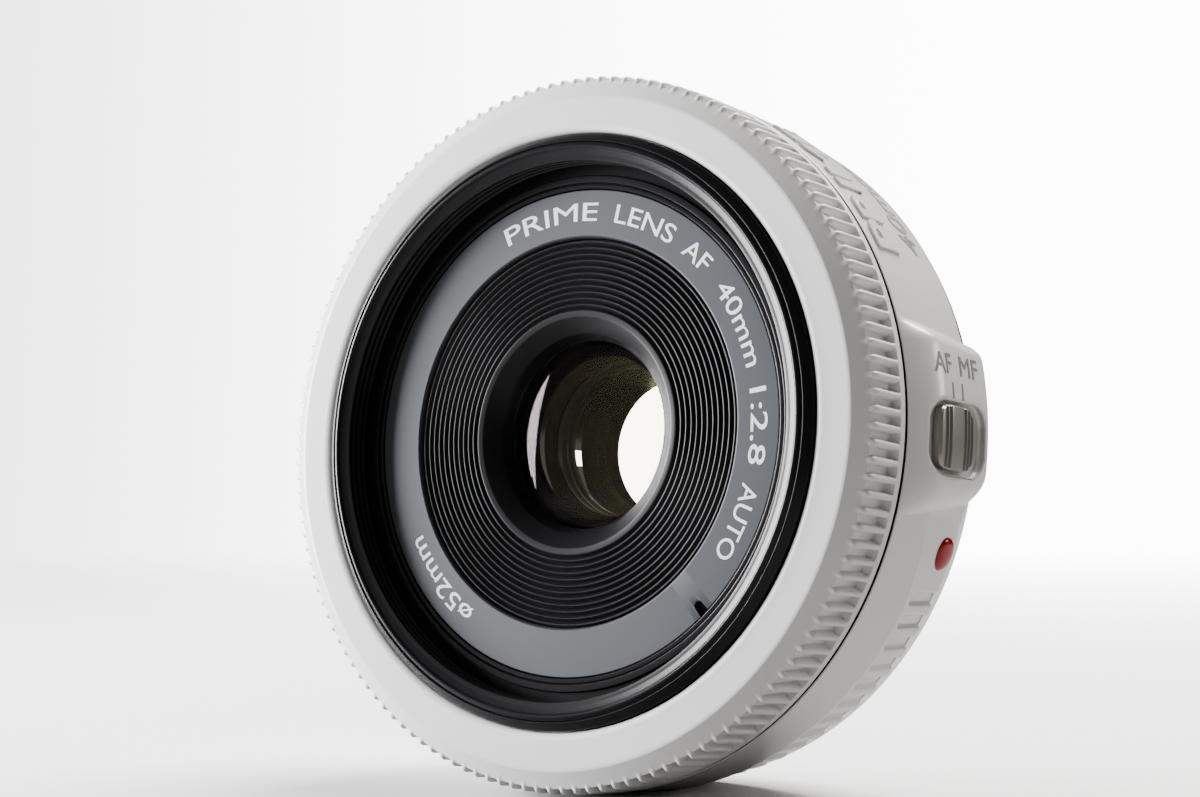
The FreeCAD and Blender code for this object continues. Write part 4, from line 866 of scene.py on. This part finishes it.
element("glass_front", "front_glass", "front_element", 9.6, 17.4, 45.0, 15.0, 90.0)
element("glass_second", "inner_glass_olive", "doublet_front_positive", 7.9, 14.3, 40.0, 12.6, -60.0)
element("glass_third", "inner_glass_amber", "doublet_front_negative", 7.9, 12.58, -60.0, 11.6, 60.0)
element("glass_fourth", "inner_glass_amber", "doublet_rear_negative", 7.4, 7.3, -40.0, 6.52, 50.0)
element("glass_fifth", "inner_glass_olive", "doublet_rear_positive", 7.4, 6.5, 50.0, 4.6, -30.0)
element("glass_rear", "front_glass", "rear_element", 9.3, 3.9, 80.0, 1.9, -50.0)

# %% [markdown]
# The switch knob is a small satin key with cross grooves and one index line. It is made from
# rings that shrink towards the middle of a rounded square; its height is a gentle crown with
# smooth valleys at the grooves, and the outermost rings roll over the edge and go down into the
# slot.

# %% Switch knob
KNOB_FORWARD = 9.3
KNOB_HALF_LENGTH = 3.1
KNOB_HALF_WIDTH = 2.95
KNOB_TOP = 35.85
KNOB_BASE = 34.78
KNOB_SQUARENESS = 0.42
GROOVES = (2.15, 1.5, -1.3, -1.95, -2.55)
GROOVE_WIDTH = 0.17
GROOVE_DEPTH = 0.26


def outward(across, axial, height, angle=0.0):
    """Points on the barrel: across is sideways, axial is rearwards and height is the radius."""
    turn = math.radians(angle)
    x = height * math.cos(turn) - across * math.sin(turn)
    z = height * math.sin(turn) + across * math.cos(turn)
    return np.stack([x, axial + 0 * x, z], axis=-1) * MM


turns = np.linspace(0, 2 * np.pi, 240, endpoint=False)[:, None]
ring_part = np.concatenate([np.linspace(0, 0.96, 72), [0.98, 0.995, 1.0, 1.0, 1.0, 0.6, 0.0]])
ring_part = ring_part[None, :]
side = np.sign(np.cos(turns)) * np.abs(np.cos(turns)) ** KNOB_SQUARENESS
side = side * KNOB_HALF_WIDTH * ring_part
along = np.sign(np.sin(turns)) * np.abs(np.sin(turns)) ** KNOB_SQUARENESS
along = along * KNOB_HALF_LENGTH * ring_part
valley = sum(np.exp(-((along - place) / GROOVE_WIDTH) ** 2) for place in GROOVES)
crown = KNOB_TOP - 0.10 * (along / KNOB_HALF_LENGTH) ** 2 - 0.12 * (side / KNOB_HALF_WIDTH) ** 2
height = crown - GROOVE_DEPTH * np.clip(valley, 0, 1) - 0.28 * smooth(0.955, 1.0, ring_part)
height[:, -4] = KNOB_TOP - 0.55
height[:, -3:] = KNOB_BASE
knob = outward(side, -KNOB_FORWARD - along, height)
settle("switch_cap", mesh_from_grid("switch_cap", knob, False), "knob_satin", "mode_switch",
       ["switch_knob"], sharp=50.0, merge=True)

# %% [markdown]
# The slot is lined with a grey tray that the knob slides in. Its outline is the slot's own
# rounded rectangle, drawn slightly smaller: rings of that outline shrink to the middle for the
# floor, and the outermost rings rise along the slot's wall to just under the barrel's surface.

# %% Switch tray
turns = np.linspace(0, 2 * np.pi, 160, endpoint=False)[:, None]
reach = np.array([[0.0, 0.5, 0.9, 0.985, 1.0, 1.0, 0.99, 0.99, 0.9, 0.0]])
lift = np.array([[0.03, 0.03, 0.03, 0.04, 0.1, 0.0, 0.01, 0.01, 0.01, 0.01]])
corner = SLOT_CORNER - 0.03
side = corner * np.cos(turns) + (SLOT_HALF_WIDTH - SLOT_CORNER) * np.sign(np.cos(turns))
along = corner * np.sin(turns) + (SLOT_HALF_LENGTH - SLOT_CORNER) * np.sign(np.sin(turns))
rim_angle = np.degrees(side * 1.1 / BOSS_RADIUS)
rim = barrel_skin(rim_angle, SLOT_FORWARD + along * 1.06) - 0.14
height = SLOT_FLOOR + lift + 0 * rim
height[:, 5:7] = (rim + lift)[:, 5:7]
tray = outward(side * reach, -SLOT_FORWARD - along * reach, height)
settle("switch_tray", mesh_from_grid("switch_tray", tray, False), "tray_grey", "barrel",
       sharp=40.0, merge=True)

# %% [markdown]
# The red index dot is a low dome in the barrel's side: a small sphere cap on a short straight
# wall.

# %% Index dot
DOT_ANGLE = -17.7
DOT_FORWARD = 3.7
DOT_RADIUS = 1.6
DOT_BACK = 33.0
turns = np.linspace(0, 2 * np.pi, 96, endpoint=False)[:, None]
spread = np.concatenate([np.linspace(0, 1, 16), [1.0, 0.0]])[None, :]
skin_here = float(barrel_skin(np.array(DOT_ANGLE), np.array(DOT_FORWARD)))
dome = skin_here + 0.5 * np.sqrt(np.clip(1.02 - spread ** 2, 0, 1)) - 0.02 + 0 * turns
dome[:, -2:] = DOT_BACK
dot = outward(DOT_RADIUS * spread * np.cos(turns),
              -DOT_FORWARD - DOT_RADIUS * spread * np.sin(turns), dome, DOT_ANGLE)
settle("index_dome", mesh_from_grid("index_dome", dot, False), "dot_red", "barrel", ["index_dot"],
       merge=True)

# %% [markdown]
# Lettering is text turned into a mesh and then bent: each letter's corners are read as distances
# along and across a line, and a formula carries them round the ring's face or round the barrel.
# The words are generic: what the object is, its focal length, aperture and filter size.

# %% Lettering
FONT_CAP = 0.73


def letters(text, length, cap_height, weight=0.0):
    """Flat text as arrays: along from 0 to length, up in units of cap height, depth -1 to 1."""
    curve = bpy.data.curves.new("letters", "FONT")
    curve.body = text
    curve.extrude = 0.5
    curve.bevel_depth = weight
    curve.bevel_resolution = 0
    curve.resolution_u = 8
    curve.space_word = 1.3
    holder = bpy.data.objects.new("letters", curve)
    bpy.context.scene.collection.objects.link(holder)
    bpy.context.view_layer.update()
    evaluated = holder.evaluated_get(bpy.context.evaluated_depsgraph_get())
    mesh = bpy.data.meshes.new_from_object(evaluated)
    bpy.data.objects.remove(holder)
    points = np.zeros(len(mesh.vertices) * 3, np.float32)
    mesh.vertices.foreach_get("co", points)
    points = points.reshape(-1, 3).astype(float)
    low, high = points.min(axis=0), points.max(axis=0)
    along = (points[:, 0] - low[0]) / (high[0] - low[0]) * length
    up = points[:, 1] / FONT_CAP * cap_height
    return mesh, along, up, np.clip(points[:, 2] * 2, -1, 1)


def set_letters(name, mesh, points, material_name, body):
    mesh.vertices.foreach_set("co", points.astype(np.float32).ravel())
    mesh.update()
    return settle(name, mesh, material_name, body, sharp=30.0)


def ring_words(name, text, first, last, base=20.26, cap_height=1.85, weight=0.004):
    """Words that run clockwise on the name ring, from one angle to another."""
    length = math.radians(first - last) * base
    mesh, along, up, depth = letters(text, length, cap_height, weight)
    angle = first - np.degrees(along / base)
    points = round_axis(base + up, NAME_FRONT + 0.012 * depth, angle)
    return set_letters(name, mesh, points, "letter_white", "front_unit")


for word, first, last in (("PRIME", 115.6, 85.0), ("LENS", 79.2, 59.3), ("AF", 54.8, 45.6),
                          ("40mm", 39.5, 15.9), ("1:2.8", 10.3, -8.8), ("AUTO", -13.8, -33.6),
                          ("ø52mm", -121.6, -150.2)):
    ring_words("ring_word_" + word.replace(":", "_").replace("ø", "d"), word, first, last)


def barrel_words(name, text, first, last, base, cap_height, raise_by, material_name, weight=0.0):
    """Words round the barrel with their tops towards the front."""
    length = math.radians(last - first) * BARREL_RADIUS
    mesh, along, up, depth = letters(text, length, cap_height, weight)
    angle = first + np.degrees(along / BARREL_RADIUS)
    forward = base + up
    skin = barrel_skin(angle, forward)
    points = round_axis(skin + raise_by * depth, forward, angle)
    return set_letters(name, mesh, points, material_name, "barrel")


barrel_words("raised_word", "PRIME", 30.0, 59.0, 10.3, 3.9, 0.28, "barrel_white", 0.03)
barrel_words("focal_length_mark", "40mm", 31.8, 53.0, 4.0, 3.5, 0.05, "letter_grey", 0.004)


def switch_words(name, text, front, rear, base_angle, cap_height, weight=0.0):
    """Words beside the switch: they run rearwards, with their tops away from it."""
    length = front - rear
    mesh, along, up, depth = letters(text, length, cap_height, weight)
    angle = base_angle + np.degrees(up / BOSS_RADIUS)
    forward = front - along
    points = round_axis(barrel_skin(angle, forward) + 0.045 * depth, forward, angle)
    return set_letters(name, mesh, points, "letter_grey", "barrel")


switch_words("auto_mark", "AF", 12.6, 9.75, 9.45, 1.95, 0.006)
switch_words("manual_mark", "MF", 8.2, 4.75, 9.45, 1.95, 0.004)

# %% [markdown]
# Two short lines beside the slot show where the switch stands, and the knob carries a third. Each
# is a thin raised strip that follows the surface under it: a grid of a few points with a little
# thickness.

# %% Index lines


def strip(name, low, high, forward, half_width, height_at, material_name, body):
    """A bar along the angle from low to high: its top is height_at, its underside 0.05 lower.

    Each end is closed by one more section whose points all lie at the section's middle.
    """
    angle = np.linspace(low, high, 12)[:, None]
    corner_forward = forward + half_width * np.array([[-1, -0.8, 0.8, 1, 1, -1]])
    lift = np.array([[0.0, 0.015, 0.015, 0.0, -0.05, -0.05]])
    points = round_axis(height_at + lift + 0 * angle, corner_forward + 0 * angle,
                        angle + 0 * corner_forward)
    middle = points.mean(axis=1, keepdims=True) + 0 * points
    closed = np.concatenate([middle[:1], points, middle[-1:]])
    mesh = mesh_from_grid(name, closed.transpose(1, 0, 2), False)
    return settle(name, mesh, material_name, body, merge=True)


strip("auto_line", 5.75, 8.15, 9.85, 0.19, BOSS_RADIUS, "letter_grey", "barrel")
strip("manual_line", 5.75, 8.25, 8.05, 0.19, BOSS_RADIUS, "letter_grey", "barrel")
strip("knob_line", 0.8, 3.9, 9.85, 0.17, KNOB_TOP - 0.06, "letter_grey", "mode_switch")

# %% [markdown]
# The rear is metal and black plastic that the working model already has in its true shape, but
# its mesh is loose triangles that shade flat. A copy is merged into one skin, so that it can
# shade smoothly between its real edges, and stands in for the original.

# %% Rear parts


def polished(node, material_name, sharp=14.0):
    """A merged, smooth-shaded copy of a CAD node, in its place."""
    mesh = nodes[node].data.copy()
    work = bmesh.new()
    work.from_mesh(mesh)
    bmesh.ops.remove_doubles(work, verts=work.verts, dist=2e-7)
    work.to_mesh(mesh)
    work.free()
    return settle(node + "_finished", mesh, material_name, nodes[node]["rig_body"], [node], sharp)


for node, material_name in (
        ("mount_plate", "mount_chrome"), ("mount_screws", "screw_steel"),
        ("rear_cover", "moulded_black"), ("rear_cover_screws", "screw_steel"),
        ("contact_block", "moulded_black"), ("contact_pins", "gold_plate"),
        ("contact_block_screws", "screw_steel"), ("guide_barrel", "machined_grey"),
        ("cam_ring", "machined_grey"), ("chassis_plate", "machined_grey"),
        ("main_circuit_board", "board_green"), ("cam_followers", "screw_steel"),
        ("ring_slip_washer", "acetal_cream"), ("iris_base", "moulded_black"),
        ("iris_cover", "moulded_black"), ("focus_motor", "motor_can"),
        ("iris_motor", "motor_can"), ("switch_slider", "moulded_black")):
    polished(node, material_name)

# %% [markdown]
# Everything else is sealed inside or seen only through the glass. Those nodes keep their own
# meshes and get the finish that their material slot asks for.

# %% Inner nodes
slot_finish = {
    "steel_screws": "screw_steel", "black_plastic": "moulded_black",
    "black_metal": "anodised_black", "gold_contacts": "gold_plate",
    "green_board": "board_green", "chip_plastic": "chip_black",
    "grey_aluminium": "machined_grey", "motor_metal": "motor_can",
    "gear_plastic": "acetal_cream", "brass_gear": "cut_brass", "iris_steel": "blade_black",
    "chrome_mount": "mount_chrome", "white_plastic": "barrel_white", "red_plastic": "dot_red",
    "name_metal": "name_ring_metal", "clear_glass": "front_glass", "knob_metal": "knob_satin",
}
for entry in frame["record"]["subparts"]:
    slots = nodes[entry["node"]].data.materials
    chosen = materials[slot_finish[entry["material_slot"]]][0]
    if len(slots) == 0:
        slots.append(chosen)
    for number in range(len(slots)):
        slots[number] = chosen
